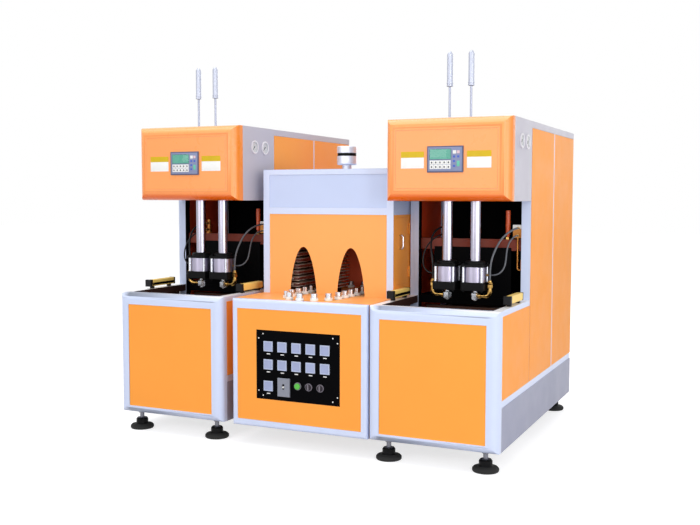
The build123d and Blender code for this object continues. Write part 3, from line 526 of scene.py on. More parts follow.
@dataclass(frozen=True)
class ClearCover(Finish):
    """Thin clear acrylic or glass: mostly see-through, with gloss at a slant."""

    roughness: float = 0.05
    ior: float = 1.45

    def surface(self, tree: bpy.types.NodeTree) -> bpy.types.NodeSocket:
        """Mix of a clear and a glossy shader by the slant of the surface.

        Args:
            tree: Material tree.

        Returns:
            Socket with the shader.
        """
        clear = add_node(tree, "ShaderNodeBsdfTransparent", {"Color": linear(self.color)})
        gloss = add_node(tree, "ShaderNodeBsdfGlossy", {"Roughness": self.roughness})
        slant = add_node(tree, "ShaderNodeFresnel", {"IOR": self.ior})
        side = add_node(tree, "ShaderNodeNewGeometry")
        front = add_node(
            tree, "ShaderNodeMath", {0: 1.0, 1: side.outputs["Backfacing"]}, operation="SUBTRACT"
        )
        share = add_node(
            tree, "ShaderNodeMath", {0: slant.outputs[0], 1: front.outputs[0]}, operation="MULTIPLY"
        )
        mixed = add_node(
            tree,
            "ShaderNodeMixShader",
            {0: share.outputs[0], 1: clear.outputs[0], 2: gloss.outputs[0]},
        )
        return mixed.outputs[0]


# Stoved enamel on folded sheet: even and satin, so the eye sees clean colour and little shine
ORANGE = Enamel(
    "orange_enamel",
    "#FFA446",
    edge_color="#FFCF9A",
    tint=0.03,
    roughness=0.45,
    coat=0.0,
    specular=0.12,
)
# The same enamel on the oven front and its upward faces: a shade paler, as painted light
ORANGE_PAINTED_LIGHT = Enamel(
    "orange_enamel_oven",
    "#FFB066",
    edge_color="#FFD6AA",
    tint=0.03,
    roughness=0.45,
    coat=0.0,
    specular=0.12,
)
# Painted shade on the oven's inner side: redder, darker enamel in broad patches, so the opening
# reads deep
OVEN_INNER_SHADE = Enamel(
    "heat_browned_enamel", "#FF7048", roughness=0.6, coat=0.0, specular=0.2, tint=0.2
)
# The same enamel on the moulded hoods, polished: soft bands of light run along the round edges
# Painted shade in deeper orange on the rounds and underneath, painted light on top
ORANGE_HOOD = PaintedShadingEnamel(
    "orange_enamel_hood",
    "#FFA25B",
    edge_color="#FFD9B0",
    tint=0.02,
    roughness=0.3,
    coat=0.3,
    specular=0.3,
)
# Enamel down in the hood's groove, darker as painted shade: a thin darker line round the flat front
HOOD_GROOVE_SHADE = Enamel("orange_enamel_in_groove", "#F2965A", coat=0.0, specular=0.1)
# Pale blue enamel: cool and clean, with lighter rubbed edges
PALE = Enamel("pale_blue_enamel", "#D0DBF6", edge_color="#F4F8FF", tint=0.03, specular=0.3)
# The same enamel on the welded frames: a white painted highlight on top, a little painted shade
# beneath
FRAME = PaintedShadingEnamel(
    "pale_blue_enamel_frame",
    "#D0DBF6",
    edge_color="#F4F8FF",
    tint=0.03,
    specular=0.15,
    round_shade_color="#D0DBF6",
    crown_highlight_color="#FFFFFF",
    under_shade_color="#CAD5F0",
    crown_from=0.8,
    crown_full=0.99,
)
# Grey enamel on the heads: dull, so they step back behind the orange hoods
GREY = Enamel("grey_enamel", "#BDBAC6", edge_color="#DADBE4", tint=0.03, coat=0.0, specular=0.2)
# Darker grey enamel on the kick plates: it grounds the cabinets
SKIRT = Enamel(
    "skirt_grey_enamel", "#999DB4", edge_color="#C8CAD6", tint=0.05, coat=0.0, specular=0.12
)
# Blue-grey enamel on the oven's roof: a little shine on wide pale faces
OVEN_BLUE = Enamel(
    "oven_blue_grey_enamel", "#C0CEEF", edge_color="#EEF3FF", tint=0.03, specular=0.3
)
# Enamel on the cross beams, dark red-brown as painted shade: cloudy, with worn lighter edges
BEAM_SHADE = Enamel(
    "red_brown_enamel",
    "#7E3424",
    edge_color="#A8604A",
    tint=0.16,
    coat=0.0,
    specular=0.2,
    cloud_mm=120.0,
)
# Painted shade on the inner side of the sheets: a dull, dark red-brown
SHEET_INNER_SHADE = Enamel(
    "red_oxide_primer", "#D8441E", roughness=0.6, coat=0.0, specular=0.2, edge_share=0.0
)
# Dark brown inside the tables as painted shade: the mould well reads as a dark hole between pale
# rails
WELL_SHADE = Enamel("dark_brown_enamel", "#3C2722", roughness=0.6, coat=0.0, specular=0.1, edge_share=0.0)
# Satin black enamel: small soft highlights and grey edges on a dark body
BLACK = Enamel(
    "satin_black_enamel",
    "#0C0C0E",
    roughness=0.42,
    coat=0.0,
    specular=0.1,
    edge_color="#34343A",
    edge_share=0.3,
)
# Dead matt black inside the stations, and painted shade on the frame there: it swallows the light,
# so bright pieces stand out
MATT_BLACK = Enamel(
    "matt_black_enamel",
    "#060608",
    roughness=0.7,
    coat=0.0,
    specular=0.05,
    edge_color="#1A1A1E",
    edge_share=0.2,
)
# Black of the control plate: hardly any shine, so the pale meters stand out
PLATE_BLACK = Enamel(
    "control_plate_black", "#050507", roughness=0.45, coat=0.0, specular=0.02, edge_color="#2A2A30"
)
# Powder coat on the light curtains: warm yellow with a fine pebbled skin
YELLOW = Enamel(
    "yellow_powder_coat",
    "#FFDA78",
    roughness=0.45,
    grain_mm=1.2,
    bump_mm=0.06,
    specular=0.3,
    coat=0.0,
)
# Hard chrome on ground steel: a clear mirror
CHROME = Metal("hard_chrome", "#D4D2DC", roughness=0.1, bump_mm=0.0, edge_mm=0.0, tint=0.03)
# Chromed tube, ground lengthwise: a bright middle and dark flanks
CHROME_TUBE = Metal("chromed_tube", "#ACA9B8", roughness=0.16, bump_mm=0.0, edge_mm=0.0, tint=0.03)
# Chromed brass round the dials: a bright but blurred ring
GAUGE_RIM = Metal(
    "chromed_brass_rim", "#E6E3E8", roughness=0.42, metallic=0.5, bump_mm=0.0, tint=0.02
)
# Ground and oiled steel: grey with a soft drawn-out shine
STEEL = Metal("machined_steel", "#9EA1A7", roughness=0.36)
# Oiled studs of the feet: dark grey with a dull shine
STUD_STEEL = Metal("oiled_stud_steel", "#7A7B84", roughness=0.42, metallic=0.8)
# Zinc plate on screws, nozzles and tie rods: light, with crisp highlights
BRIGHT_STEEL = Metal("zinc_plated_steel", "#D2D5DC", roughness=0.22, grain_mm=1.5, bump_mm=0.004)
# Ground stop rods: pale satin bars against the background
STOP_ROD = Metal(
    "ground_stop_rod", "#AAAEC0", roughness=0.34, metallic=0.4, bump_mm=0.0, edge_mm=0.0, tint=0.03
)
# Platen steel round the mould space, dark brown as painted shade, with a dull metallic shine
PLATEN_SHADE = Metal(
    "oiled_platen_steel", "#5A3A2E", roughness=0.5, metallic=0.6, tint=0.2, cloud_mm=90.0
)
# Turned and clear anodised aluminium: pale, with fine rings that read as satin
ALUMINIUM = Metal("anodised_aluminium", "#D9DAE0", roughness=0.27, grain_mm=0.9, bump_mm=0.006)
# Drawn tubes of the seal cylinders: cool grey with one long soft highlight
ALUMINIUM_Z = Metal(
    "drawn_aluminium", "#A9A4B7", roughness=0.33, bump_mm=0.0, edge_mm=0.0, tint=0.05
)
# Spun exhaust cap: pale and soft, without a clear reflection
SPUN_ALUMINIUM = Metal("spun_aluminium", "#E4E6EE", roughness=0.45, bump_mm=0.004, metallic=0.7)
# Reflector sheet, drawn lengthwise and stained by heat: a dull brown gleam
REFLECTOR = Metal(
    "heat_stained_reflector_sheet", "#6A5548", roughness=0.35, grain=Grain.ALONG_Y, tint=0.3
)
# Thin fins between the lamps: pale lines that catch the light
FIN = Metal("reflector_fin", "#E0CFC4", roughness=0.5, metallic=0.3, grain=Grain.ALONG_Y)
# Turned brass of fittings and elbows: warm and bright on every round
BRASS = Metal("turned_brass", "#C49C58", roughness=0.24, bump_mm=0.004)
# Cast brass of the valve block and post: rougher than turned brass, and darker as painted shade
BRASS_SHADE = Metal("cast_brass", "#A8703C", roughness=0.45, grain_mm=2.0, bump_mm=0.03)
# Bent copper pipe: smooth and reddish
COPPER = Metal("bent_copper_pipe", "#B87A3C", roughness=0.28, bump_mm=0.0)
# Black and dark grey plastic: a fine grain breaks the shine
BLACK_PLASTIC = Moulded("black_abs", "#141417", specular=0.2)
DARK_GREY_PLASTIC = Moulded("dark_grey_abs", "#2C272E", specular=0.2)
# Case of the controllers: a slate blue rim round the pale film
CONTROLLER_CASE = Moulded("slate_blue_abs", "#5C617C", edge_color="#8A90AA", specular=0.2)
# Keypad film: smooth and flat, a calm ground for the keys
MEMBRANE = Moulded("membrane_keypad_film", "#878FB0", roughness=0.4, edge_share=0.0, specular=0.2)
# Meter cases: pale blue frames with soft edges
METER_CASE = Moulded("meter_case_abs", "#B9C3DD", edge_color="#DDE4F4", specular=0.2)
# Fronts of the meters: darker and glossier than their cases
METER_FACE = Moulded(
    "meter_front_acrylic", "#A2ACD0", roughness=0.18, edge_share=0.0, tint=0.08, specular=0.3
)
# Breaker case: plain grey beside the black plate
BREAKER_GREY = Moulded("breaker_case_grey", "#8A8E9B", edge_color="#C2C4CE", specular=0.2)
# Satin chrome sleeves on the stop rods: light bands with a soft highlight
SLEEVE = Metal(
    "satin_chromed_sleeve",
    "#B9BECE",
    roughness=0.34,
    metallic=0.4,
    bump_mm=0.0,
    edge_mm=0.0,
    tint=0.02,
)
# White plastic of keys, caps and levers: the lightest spots on the machine
WHITE_PLASTIC = Moulded("white_abs", "#EDEDEA", roughness=0.32, edge_color="#FFFFFF")
# Coloured keys and the ink on the white ones: small flat accents on the film
BLUE_KEY = Moulded("blue_membrane_key", "#4A66C4", roughness=0.35, specular=0.2)
GREEN_KEY = Moulded("green_membrane_key", "#6CC4A8", roughness=0.35, specular=0.2)
PINK_KEY = Moulded("pale_pink_membrane_key", "#E2C4CC", roughness=0.35, specular=0.2)
KEY_INK = Moulded("key_mark_ink", "#4A4A58", roughness=0.5, edge_share=0.0, specular=0.2)
# Grips of the knobs and their collars: a lighter grey than the knobs, partly a painted highlight on
# their rims
KNOB_GRIP_HIGHLIGHT = Moulded("grey_knob_grip", "#77727C", roughness=0.4, specular=0.2)
# Start button and filter bowl: smooth spots of strong colour
GREEN_PLASTIC = Moulded("green_lens_plastic", "#4FB83A", roughness=0.25)
RED_BOWL = Moulded("red_filter_bowl", "#E85E2C", roughness=0.25)
# Rubber under the feet: dead black with a coarse skin
RUBBER = Moulded(
    "black_rubber", "#101012", roughness=0.72, grain_mm=1.4, bump_mm=0.06, specular=0.2
)
# Air hoses: a soft highlight runs along them, black on the left and grey on the right
HOSE = Moulded("black_air_hose", "#17171A", roughness=0.4, grain_mm=2.2, tint=0.08, specular=0.3)
HOSE_GREY = Moulded(
    "grey_air_hose", "#5C5F66", roughness=0.4, grain_mm=2.2, tint=0.08, specular=0.4
)
# Vinyl of the blank plates and strips: flat, clean colour
SIGN_YELLOW = Moulded("sign_yellow_vinyl", "#D6B41E", roughness=0.35, edge_share=0.0, specular=0.2)
SIGN_WHITE = Moulded("sign_white_vinyl", "#F6F6F4", roughness=0.35, edge_share=0.0, specular=0.2)
# Dial card and its print: warm white with thin grey marks
DIAL = Moulded("dial_card", "#FFF0EA", roughness=0.6, edge_share=0.0)
DIAL_INK = Moulded("dial_ink", "#9C8E92", roughness=0.6, edge_share=0.0)
# Quartz lamps, barely lit, with pale ceramic ends: dark red tubes in the opening
LAMP = Glowing("quartz_lamp", "#3E1C18", roughness=0.25, glow=0.05, glow_color="#D8401C")
LAMP_END = Moulded("lamp_ceramic_end", "#B9B0A4", roughness=0.7)
# Display: green, with a faint light of its own
SCREEN = Glowing(
    "lcd_screen", "#5CA88E", roughness=0.25, glow=0.16, glow_color="#6CD0A8", tint=0.02
)
# Clear covers of gauges and displays: seen only by their reflections
GLASS = ClearCover("gauge_glass", "#F4F8FA")


class Shape:
    """A mesh under construction, made of simple turned, pressed and folded forms."""

    def __init__(self) -> None:
        """Starts an empty mesh."""
        self.mesh = bmesh.new()
        self.finishes: list[Finish] = []

    def slot(self, finish: Finish) -> int:
        """Number of the finish among this shape's materials.

        Args:
            finish: The finish, added where it is new.

        Returns:
            Its number.
        """
        if finish not in self.finishes:
            self.finishes.append(finish)
        return self.finishes.index(finish)

    def paint(self, faces: Iterable[bmesh.types.BMFace], finish: Finish) -> None:
        """Gives faces a finish.

        Args:
            faces: Faces of this shape.
            finish: Their finish.
        """
        index = self.slot(finish)
        for face in faces:
            face.material_index = index

    def box(
        self,
        low: Sequence[float],
        high: Sequence[float],
        finish: Finish,
        radius: float = 0.0,
    ) -> None:
        """Adds a block with rounded edges.

        Args:
            low: Lowest corner.
            high: Highest corner.
            finish: Finish of the block.
            radius: Radius of its edges.
        """
        size = Vector(high) - Vector(low)
        place = Matrix.Translation((Vector(low) + Vector(high)) / 2) @ Matrix.Diagonal((*size, 1))
        made = bmesh.ops.create_cube(self.mesh, size=1, matrix=place)
        faces = {f for v in made["verts"] for f in v.link_faces}
        self.paint(faces, finish)
        if radius:
            edges = {e for f in faces for e in f.edges}
            bmesh.ops.bevel(
                self.mesh,
                geom=list(edges),
                offset=radius,
                segments=3,
                affect="EDGES",
                profile=0.5,
                material=self.slot(finish),
            )

    def turned(
        self,
        profile: Sequence[tuple[float, float]],
        centre: Sequence[float],
        finish: Finish,
        axis: Axis = Axis.Z,
        sides: int = 40,
        bored: bool = False,
    ) -> None:
        """Adds a body of revolution.

        Args:
            profile: Radius and height of each corner, from one end to the other.
            centre: Foot of the axis.
            finish: Finish of the body.
            axis: Direction of increasing height.
            sides: Number of facets round it.
            bored: Whether the last corner joins the first one, which leaves a bore open.
        """
        place = Matrix.Translation(Vector(centre)) @ axis.matrix()
        rings = []
        for radius, height in profile:
            ring = []
            for i in range(sides if radius > SAME else 1):
                a = 2 * math.pi * i / sides
                spot = Vector((radius * math.cos(a), radius * math.sin(a), height))
                ring.append(self.mesh.verts.new(place @ spot))
            rings.append(ring)
        faces = []
        following = rings[1:] + rings[:1] if bored else rings[1:]
        for below, above in zip(rings, following):
            for i in range(sides):
                quad = [below[i % len(below)], below[(i + 1) % len(below)]]
                quad += [above[(i + 1) % len(above)], above[i % len(above)]]
                corners = list(dict.fromkeys(quad))
                if len(corners) > 2:
                    faces.append(self.mesh.faces.new(corners))
        for ring in (rings[0], rings[-1]):
            if len(ring) > 2 and not bored:
                faces.append(self.mesh.faces.new(ring))
        self.paint(faces, finish)
        bmesh.ops.recalc_face_normals(self.mesh, faces=faces)

    def swept(
        self,
        spots: Sequence[Sequence[float]],
        radii: Sequence[float],
        finish: Finish,
        side: Axis = Axis.Y,
        sides: int = 28,
    ) -> None:
        """Adds a round bar along a bent line that lies square to one direction.

        Args:
            spots: Points along its middle.
            radii: Radius at each point.
            finish: Finish of the bar.
            side: Direction square to the line.
            sides: Number of facets round it.
        """
        line = [Vector(spot) for spot in spots]
        rings = []
        for i, spot in enumerate(line):
            ahead = (line[min(i + 1, len(line) - 1)] - line[max(i - 1, 0)]).normalized()
            up = ahead.cross(side.value).normalized()
            ring = []
            for k in range(sides):
                a = 2 * math.pi * k / sides
                out = side.value * math.cos(a) + up * math.sin(a)
                ring.append(self.mesh.verts.new(spot + out * radii[i]))
            rings.append(ring)
        faces = [self.mesh.faces.new(rings[0]), self.mesh.faces.new(rings[-1])]
        for one, two in zip(rings, rings[1:]):
            for k in range(sides):
                j = (k + 1) % sides
                faces.append(self.mesh.faces.new((one[k], one[j], two[j], two[k])))
        self.paint(faces, finish)
        bmesh.ops.recalc_face_normals(self.mesh, faces=faces)

    def object(self, name: str) -> bpy.types.Object:
        """Turns the shape to an object at the origin, with its finishes.

        Args:
            name: Name of the piece.

        Returns:
            The new object.
        """
        data = bpy.data.meshes.new(name)
        for edge in self.mesh.edges:
            if len(edge.link_faces) == 2:
                edge.smooth = edge.calc_face_angle(0) < math.radians(SHARP_DEG)
        for face in self.mesh.faces:
            face.smooth = True
        self.mesh.to_mesh(data)
        self.mesh.free()
        for finish in self.finishes:
            data.materials.append(finish.material())
        return new_object(name, data)


class Slots(Enum):
    """Material slots of the record, passed along with each piece but not used by the script."""

    PALE = "pale_frame"
    ORANGE = "orange_paint"
    GREY = "grey_paint"
    BLACK = "black_paint"
    RUBBER = "black_rubber"
    STEEL = "machined_steel"
    CHROME = "chrome"
    ALUMINIUM = "aluminium"
    BRASS = "brass"
    DARK = "dark_plastic"
    WHITE = "white_plastic"
    YELLOW = "yellow_paint"
    LAMP = "lamp_glass"
    HOSE = "hose_rubber"


def settle(piece: bpy.types.Object, body: str, slot: Slots, *nodes: str) -> bpy.types.Object:
    """Lets a piece ride on its body and hides the nodes it stands for.

    Args:
        piece: The finished piece.
        body: CAD body that carries it.
        slot: Record slot of its main finish; not used.
        nodes: CAD nodes that it replaces.

    Returns:
        The same piece.
    """
    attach(piece, body)
    if nodes:
        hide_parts(*nodes)
    log.info("piece %s rides on %s", piece.name, body)
    return piece


def dress(node: str, finish: Finish) -> None:
    """Gives every surface of a CAD node one finish."""
    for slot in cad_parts[node].material_slots:
        slot.material = finish.material()


@dataclass(frozen=True)
class Cabinet:
    """One of the three cabinets that stand side by side, by the place of its left side."""

    name: str
    left: float

    def at(self, x: float, y: float, z: float) -> Vector:
        """Point in the frame, given in millimetres from the cabinet's left, front and floor."""
        return Vector((self.left + x * MM, y * MM - MIDDLE_Y, z * MM))

    def local(self, point: Vector) -> Vector:
        """Millimetres from the cabinet's left, front and floor."""
        return Vector(((point.x - self.left) / MM, (point.y + MIDDLE_Y) / MM, point.z / MM))


LEFT_UNIT = Cabinet("left", LEFT_X)
RIGHT_UNIT = Cabinet("right", RIGHT_X)
OVEN = Cabinet("oven", OVEN_X)
UNITS = (LEFT_UNIT, RIGHT_UNIT)


def in_unit(point: Vector) -> Vector:
    """Millimetres from the left, front and floor of the blow unit that holds a point."""
    return (RIGHT_UNIT if point.x > 0 else LEFT_UNIT).local(point)


@dataclass(frozen=True)
class Rule:
    """Finish for the faces of a recast node whose middle and direction pass a test."""

    finish: Finish
    test: Callable[[Vector, Vector], bool]


def recast(
    node: str,
    name: str,
    slot: Slots,
    rules: Sequence[Rule],
    rest: Finish,
    edge: float = EDGE,
    local: Callable[[Vector], Vector] = in_unit,
    body: str = ROOT,
) -> None:
    """Replaces a CAD node by a piece with clean faces, broken edges and several finishes.

    Args:
        node: CAD node to copy and to hide.
        name: Name of the piece.
        slot: Record slot of its main finish.
        rules: Finishes by place, the first that fits counts.
        rest: Finish of all other faces.
        edge: Width of the broken edges.
        local: Turns a point to the millimetres that the rules are written in.
        body: CAD body that carries the piece.
    """
    shape = Shape()
    shape.mesh.from_mesh(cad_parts[node].data)
    bmesh.ops.remove_doubles(shape.mesh, verts=shape.mesh.verts, dist=SAME)
    shape.slot(rest)
    for face in shape.mesh.faces:
        face.material_index = 0
    bmesh.ops.dissolve_limit(
        shape.mesh,
        angle_limit=math.radians(FLAT_DEG),
        verts=shape.mesh.verts,
        edges=shape.mesh.edges,
    )
    for face in shape.mesh.faces:
        middle = local(face.calc_center_median())
        for rule in rules:
            if rule.test(middle, face.normal):
                face.material_index = shape.slot(rule.finish)
                break
    piece = shape.object(name)
    if edge:
        bevel = piece.modifiers.new("broken edges", "BEVEL")
        bevel.width = edge
        bevel.segments = 2
        bevel.limit_method = "ANGLE"
        bevel.angle_limit = math.radians(SHARP_DEG)
    # Normals weighted by face area keep flat faces flat beside rounded edges
    weights = piece.modifiers.new("even normals", "WEIGHTED_NORMAL")
    weights.keep_sharp = True
    piece.data = baked(piece)
    piece.modifiers.clear()
    settle(piece, body, slot, node)


def baked(piece: bpy.types.Object) -> bpy.types.Mesh:
    """Mesh of an object with its modifiers applied.

    Args:
        piece: The object.

    Returns:
        A new mesh.
    """
    graph = bpy.context.evaluated_depsgraph_get()
    graph.update()
    return bpy.data.meshes.new_from_object(
        piece.evaluated_get(graph), preserve_all_data_layers=True, depsgraph=graph
    )


class Scatter:
    """Geometry Nodes tree that sets one item on many points, each with its own turn."""

    NAME = "set_item_on_points"

    def __init__(self) -> None:
        """Builds the tree once."""
        self.tree = bpy.data.node_groups.get(self.NAME) or self.build()

    def build(self) -> bpy.types.NodeTree:
        """Makes the tree with its named inputs.

        Returns:
            The new tree.
        """
        tree = bpy.data.node_groups.new(self.NAME, "GeometryNodeTree")
        inputs = {
            "Geometry": "Geometry",
            "Item": "Object",
            "Size": "Float",
            "Spread Of Turn": "Float",
            "Seed": "Int",
            "Finish": "Material",
        }
        for name, kind in inputs.items():
            tree.interface.new_socket(name, in_out="INPUT", socket_type=f"NodeSocket{kind}")
        tree.interface.new_socket("Geometry", in_out="OUTPUT", socket_type="NodeSocketGeometry")
        given = add_node(tree, "NodeGroupInput")
        item = add_node(tree, "GeometryNodeObjectInfo", {"Object": given.outputs["Item"]})
        turn = add_node(
            tree,
            "GeometryNodeInputNamedAttribute",
            {"Name": "turn"},
            data_type="FLOAT_VECTOR",
        )
        spread = add_node(
            tree,
            "FunctionNodeRandomValue",
            {2: 0.0, 3: given.outputs["Spread Of Turn"], "Seed": given.outputs["Seed"]},
            data_type="FLOAT",
        )
        spin = add_node(tree, "ShaderNodeCombineXYZ", {"Z": spread.outputs[1]})
        placed = add_node(
            tree,
            "GeometryNodeInstanceOnPoints",
            {
                "Points": given.outputs["Geometry"],
                "Instance": item.outputs["Geometry"],
                "Rotation": turn.outputs[0],
                "Scale": given.outputs["Size"],
            },
        )
        spun = add_node(
            tree,
            "GeometryNodeRotateInstances",
            {"Instances": placed.outputs[0], "Rotation": spin.outputs[0], "Local Space": True},
        )
        real = add_node(tree, "GeometryNodeRealizeInstances", {"Geometry": spun.outputs[0]})
        finish = add_node(
            tree,
            "GeometryNodeSetMaterial",
            {"Geometry": real.outputs[0], "Material": given.outputs["Finish"]},
        )
        add_node(tree, "NodeGroupOutput", {"Geometry": finish.outputs[0]})
        return tree

    def place(
        self,
        name: str,
        slot: Slots,
        item: bpy.types.Object,
        spots: Sequence[tuple[Vector, Matrix]],
        finish: Finish,
        spread: float = 0.0,
        seed: int = 7,
    ) -> None:
        """Sets the item on every spot, as one plain mesh piece that rides on the root body.

        Args:
            name: Name of the piece.
            slot: Record slot of its finish.
            item: Item, standing along +Z at the origin.
            spots: Place and turn of each item.
            finish: Finish of all of them.
            spread: Largest random turn about the item's own axis, in radians.
            seed: Seed of those turns.
        """
        points = bpy.data.meshes.new(name + "_points")
        points.from_pydata([tuple(p) for p, _ in spots], [], [])
        turns = points.attributes.new("turn", "FLOAT_VECTOR", "POINT")
        for i, (_, turn) in enumerate(spots):
            turns.data[i].vector = turn.to_euler()
        carrier = new_object(name, points)
        modifier = carrier.modifiers.new("repeat", "NODES")
        modifier.node_group = self.tree
        values = {
            "Item": item,
            "Size": 1.0,
            "Spread Of Turn": spread,
            "Seed": seed,
            "Finish": finish.material(),
        }
        for socket in self.tree.interface.items_tree:
            if socket.in_out == "INPUT" and socket.name in values:
                modifier[socket.identifier] = values[socket.name]
        carrier.data = baked(carrier)
        carrier.modifiers.clear()
        bpy.data.objects.remove(item)
        settle(carrier, ROOT, slot)


def button_screw(radius: float, height: float) -> bpy.types.Object:
    """Domed screw head with a recess, standing at the origin.

    Args:
        radius: Radius of the head.
        height: Height of the head.

    Returns:
        The new object.
    """
    shape = Shape()
    profile = [(radius * r, height * h) for r, h in SCREW_HEAD]
    shape.turned(profile, (0, 0, 0), STEEL, sides=18)
    return shape.object("item_screw")


def hexagon_bolt(radius: float, height: float) -> bpy.types.Object:
    """Hexagon bolt head on a washer, standing at the origin.

    Args:
        radius: Radius over the corners of the hexagon.
        height: Height of the head with its washer.

    Returns:
        The new object.
    """
    shape = Shape()
    for part, sides in ((BOLT_WASHER, 24), (BOLT_HEAD, 6)):
        profile = [(radius * r, height * h) for r, h in part]
        shape.turned(profile, (0, 0, 0), STEEL, sides=sides)
    return shape.object("item_bolt")


@dataclass
class CabinetBodies:
    """Welded frames, sheets, kick plates and levelling feet of the two blow units."""

    width: float = 665.0
    post: float = 60.0
    space_front: float = 560.0
    rail_zs: tuple[float, float] = (700.0, 800.0)
    post_zs: tuple[float, float] = (780.0, 1290.0)
    well_rail: float = 40.0
    well_ys: tuple[float, float] = (58.0, 576.0)
    sheet_edge: float = 10.0
    back_y: float = 1613.0
    foot_base: float = 27.0
    foot_hub: float = 61.0
    screw_radius: float = 4.5
    screw_height: float = 3.0
    screw_columns: tuple[float, ...] = (30.0, 332.5, 635.0)
    screw_rows: tuple[float, ...] = (372.0, 700.0, 1180.0, 1640.0)
    louvre_columns: tuple[float, ...] = (0.3, 0.7)
    louvre_rows: int = 6
    louvre_pitch: float = 60.0
    louvre_half: float = 70.0
    louvre_end: float = 8.0
    louvre_end_share: float = 0.25
    louvre_rise: float = 9.0
    louvre_profile: tuple[tuple[float, float], ...] = (
        (0.0, 0.0),
        (0.006, 0.001),
        (0.0075, 0.004),
        (0.0, 0.013),
    )

    def build(self) -> None:
        """Dresses the cabinets and adds their fasteners."""
        dress("skirts", SKIRT)
        self.feet()
        for unit in UNITS:
            self.frame(unit)
            self.sheets(unit)
            self.louvres(unit)
            self.back_screws(unit)

    def feet(self) -> None:
        """Rubber-footed levelling feet with bright studs and lock nuts."""
        rules = (
            Rule(RUBBER, lambda p, n: p.z < self.foot_base),
            Rule(BLACK, lambda p, n: p.z < self.foot_hub),
        )
        recast("levelling_feet", "levelling_foot_set", Slots.RUBBER, rules, STUD_STEEL)

    def frame(self, unit: Cabinet) -> None:
        """Pale frame, with painted shade: brown in the mould well and black where it faces the work
        space.

        Args:
            unit: The blow unit.
        """
        rules = (
            # Painted shade: the frame's faces in the mould well are dark brown
            Rule(WELL_SHADE, self.in_well),
            # Painted shade: the frame's rails and left post behind the work space are matt black
            Rule(MATT_BLACK, lambda p, n: self.on_rail(p)),
            Rule(MATT_BLACK, self.on_post),
        )
        recast(f"{unit.name}_frame", f"{unit.name}_welded_frame", Slots.PALE, rules, FRAME)

    def sheets(self, unit: Cabinet) -> None:
        """Enamelled sheets of one unit, with painted shade in red-brown on their inner side and in
        dark brown round the mould well.

        Args:
            unit: The blow unit.
        """
        edge = self.sheet_edge
        rules = (
            # Painted shade: the sheets' inner faces round the mould well are dark brown
            Rule(WELL_SHADE, lambda p, n: p.x < edge and n.x > FACING and p.z < TABLE),
            Rule(WELL_SHADE, lambda p, n: p.x > self.width - edge and n.x < -FACING and p.z < TABLE),
            Rule(WELL_SHADE, lambda p, n: p.y < edge and n.y > FACING),
            # Painted shade: the inner sides of the sheets are red-brown
            Rule(SHEET_INNER_SHADE, lambda p, n: p.x < edge and n.x > FACING),
            Rule(SHEET_INNER_SHADE, lambda p, n: p.x > self.width - edge and n.x < -FACING),
            Rule(SHEET_INNER_SHADE, lambda p, n: p.y > self.back_y - edge and n.y < -FACING),
        )
        recast(f"{unit.name}_panels", f"{unit.name}_sheets", Slots.ORANGE, rules, ORANGE)

    def in_well(self, p: Vector, n: Vector) -> bool:
        """Tells whether a face of the frame looks into the mould well under the table.

        Args:
            p: Middle of the face, in millimetres of the unit.
            n: Normal of the face.

        Returns:
            Whether it does.
        """
        across = self.well_rail < p.x < self.width - self.well_rail
        along = self.well_ys[0] < p.y < self.well_ys[1]
        return across and along and p.z < TABLE - SKIN and n.z < STANDING

    def on_rail(self, p: Vector) -> bool:
        """Tells whether a face lies on the rails behind the work space."""
        inside = self.post < p.x < self.width - self.post and p.y > self.space_front
        return inside and self.rail_zs[0] < p.z < self.rail_zs[1]

    def on_post(self, p: Vector, n: Vector) -> bool:
        """Tells whether a face is the inner side of a left post behind the work space."""
        inner = p.x < self.post and n.x > FACING and p.y > self.space_front
        return inner and self.post_zs[0] < p.z < self.post_zs[1]

    def louvres(self, unit: Cabinet) -> None:
        """Pressed hoods over the air slots in the back sheet.

        Args:
            unit: The blow unit.
        """
        shape = Shape()
        half, end = self.louvre_half * MM, self.louvre_end * MM
        low = self.louvre_end_share
        rows = []
        for x, size in ((-half, low), (-half + end, 1.0), (half - end, 1.0), (half, low)):
            rows.append([shape.mesh.verts.new((x, h, d * size)) for d, h in self.louvre_profile])
        faces = []
        for one, two in zip(rows, rows[1:]):
            for i in range(len(one)):
                j = (i + 1) % len(one)
                faces.append(shape.mesh.faces.new((one[i], one[j], two[j], two[i])))
        faces += [shape.mesh.faces.new(rows[0]), shape.mesh.faces.new(rows[-1])]
        shape.paint(faces, ORANGE)
        bmesh.ops.recalc_face_normals(shape.mesh, faces=faces)
        turn = Matrix.Rotation(math.pi, 4, "Z") @ Matrix.Rotation(math.pi / 2, 4, "X")
        spots = []
        for share in self.louvre_columns:
            for row in range(self.louvre_rows):
                z = TABLE + self.louvre_pitch * row + self.louvre_rise
                spots.append((unit.at(self.width * share, self.back_y, z), turn))
        item = shape.object("item_louvre")
        Scatter().place(f"{unit.name}_louvres", Slots.ORANGE, item, spots, ORANGE)

    def back_screws(self, unit: Cabinet) -> None:
        """Screws that hold the back sheet.

        Args:
            unit: The blow unit.
        """
        spots = [
            (unit.at(x, self.back_y, z), Axis.Y.matrix())
            for x in self.screw_columns
            for z in self.screw_rows
        ]
        item = button_screw(self.screw_radius * MM, self.screw_height * MM)
        name = f"{unit.name}_back_screws"
        Scatter().place(name, Slots.STEEL, item, spots, BRIGHT_STEEL, spread=1.0)


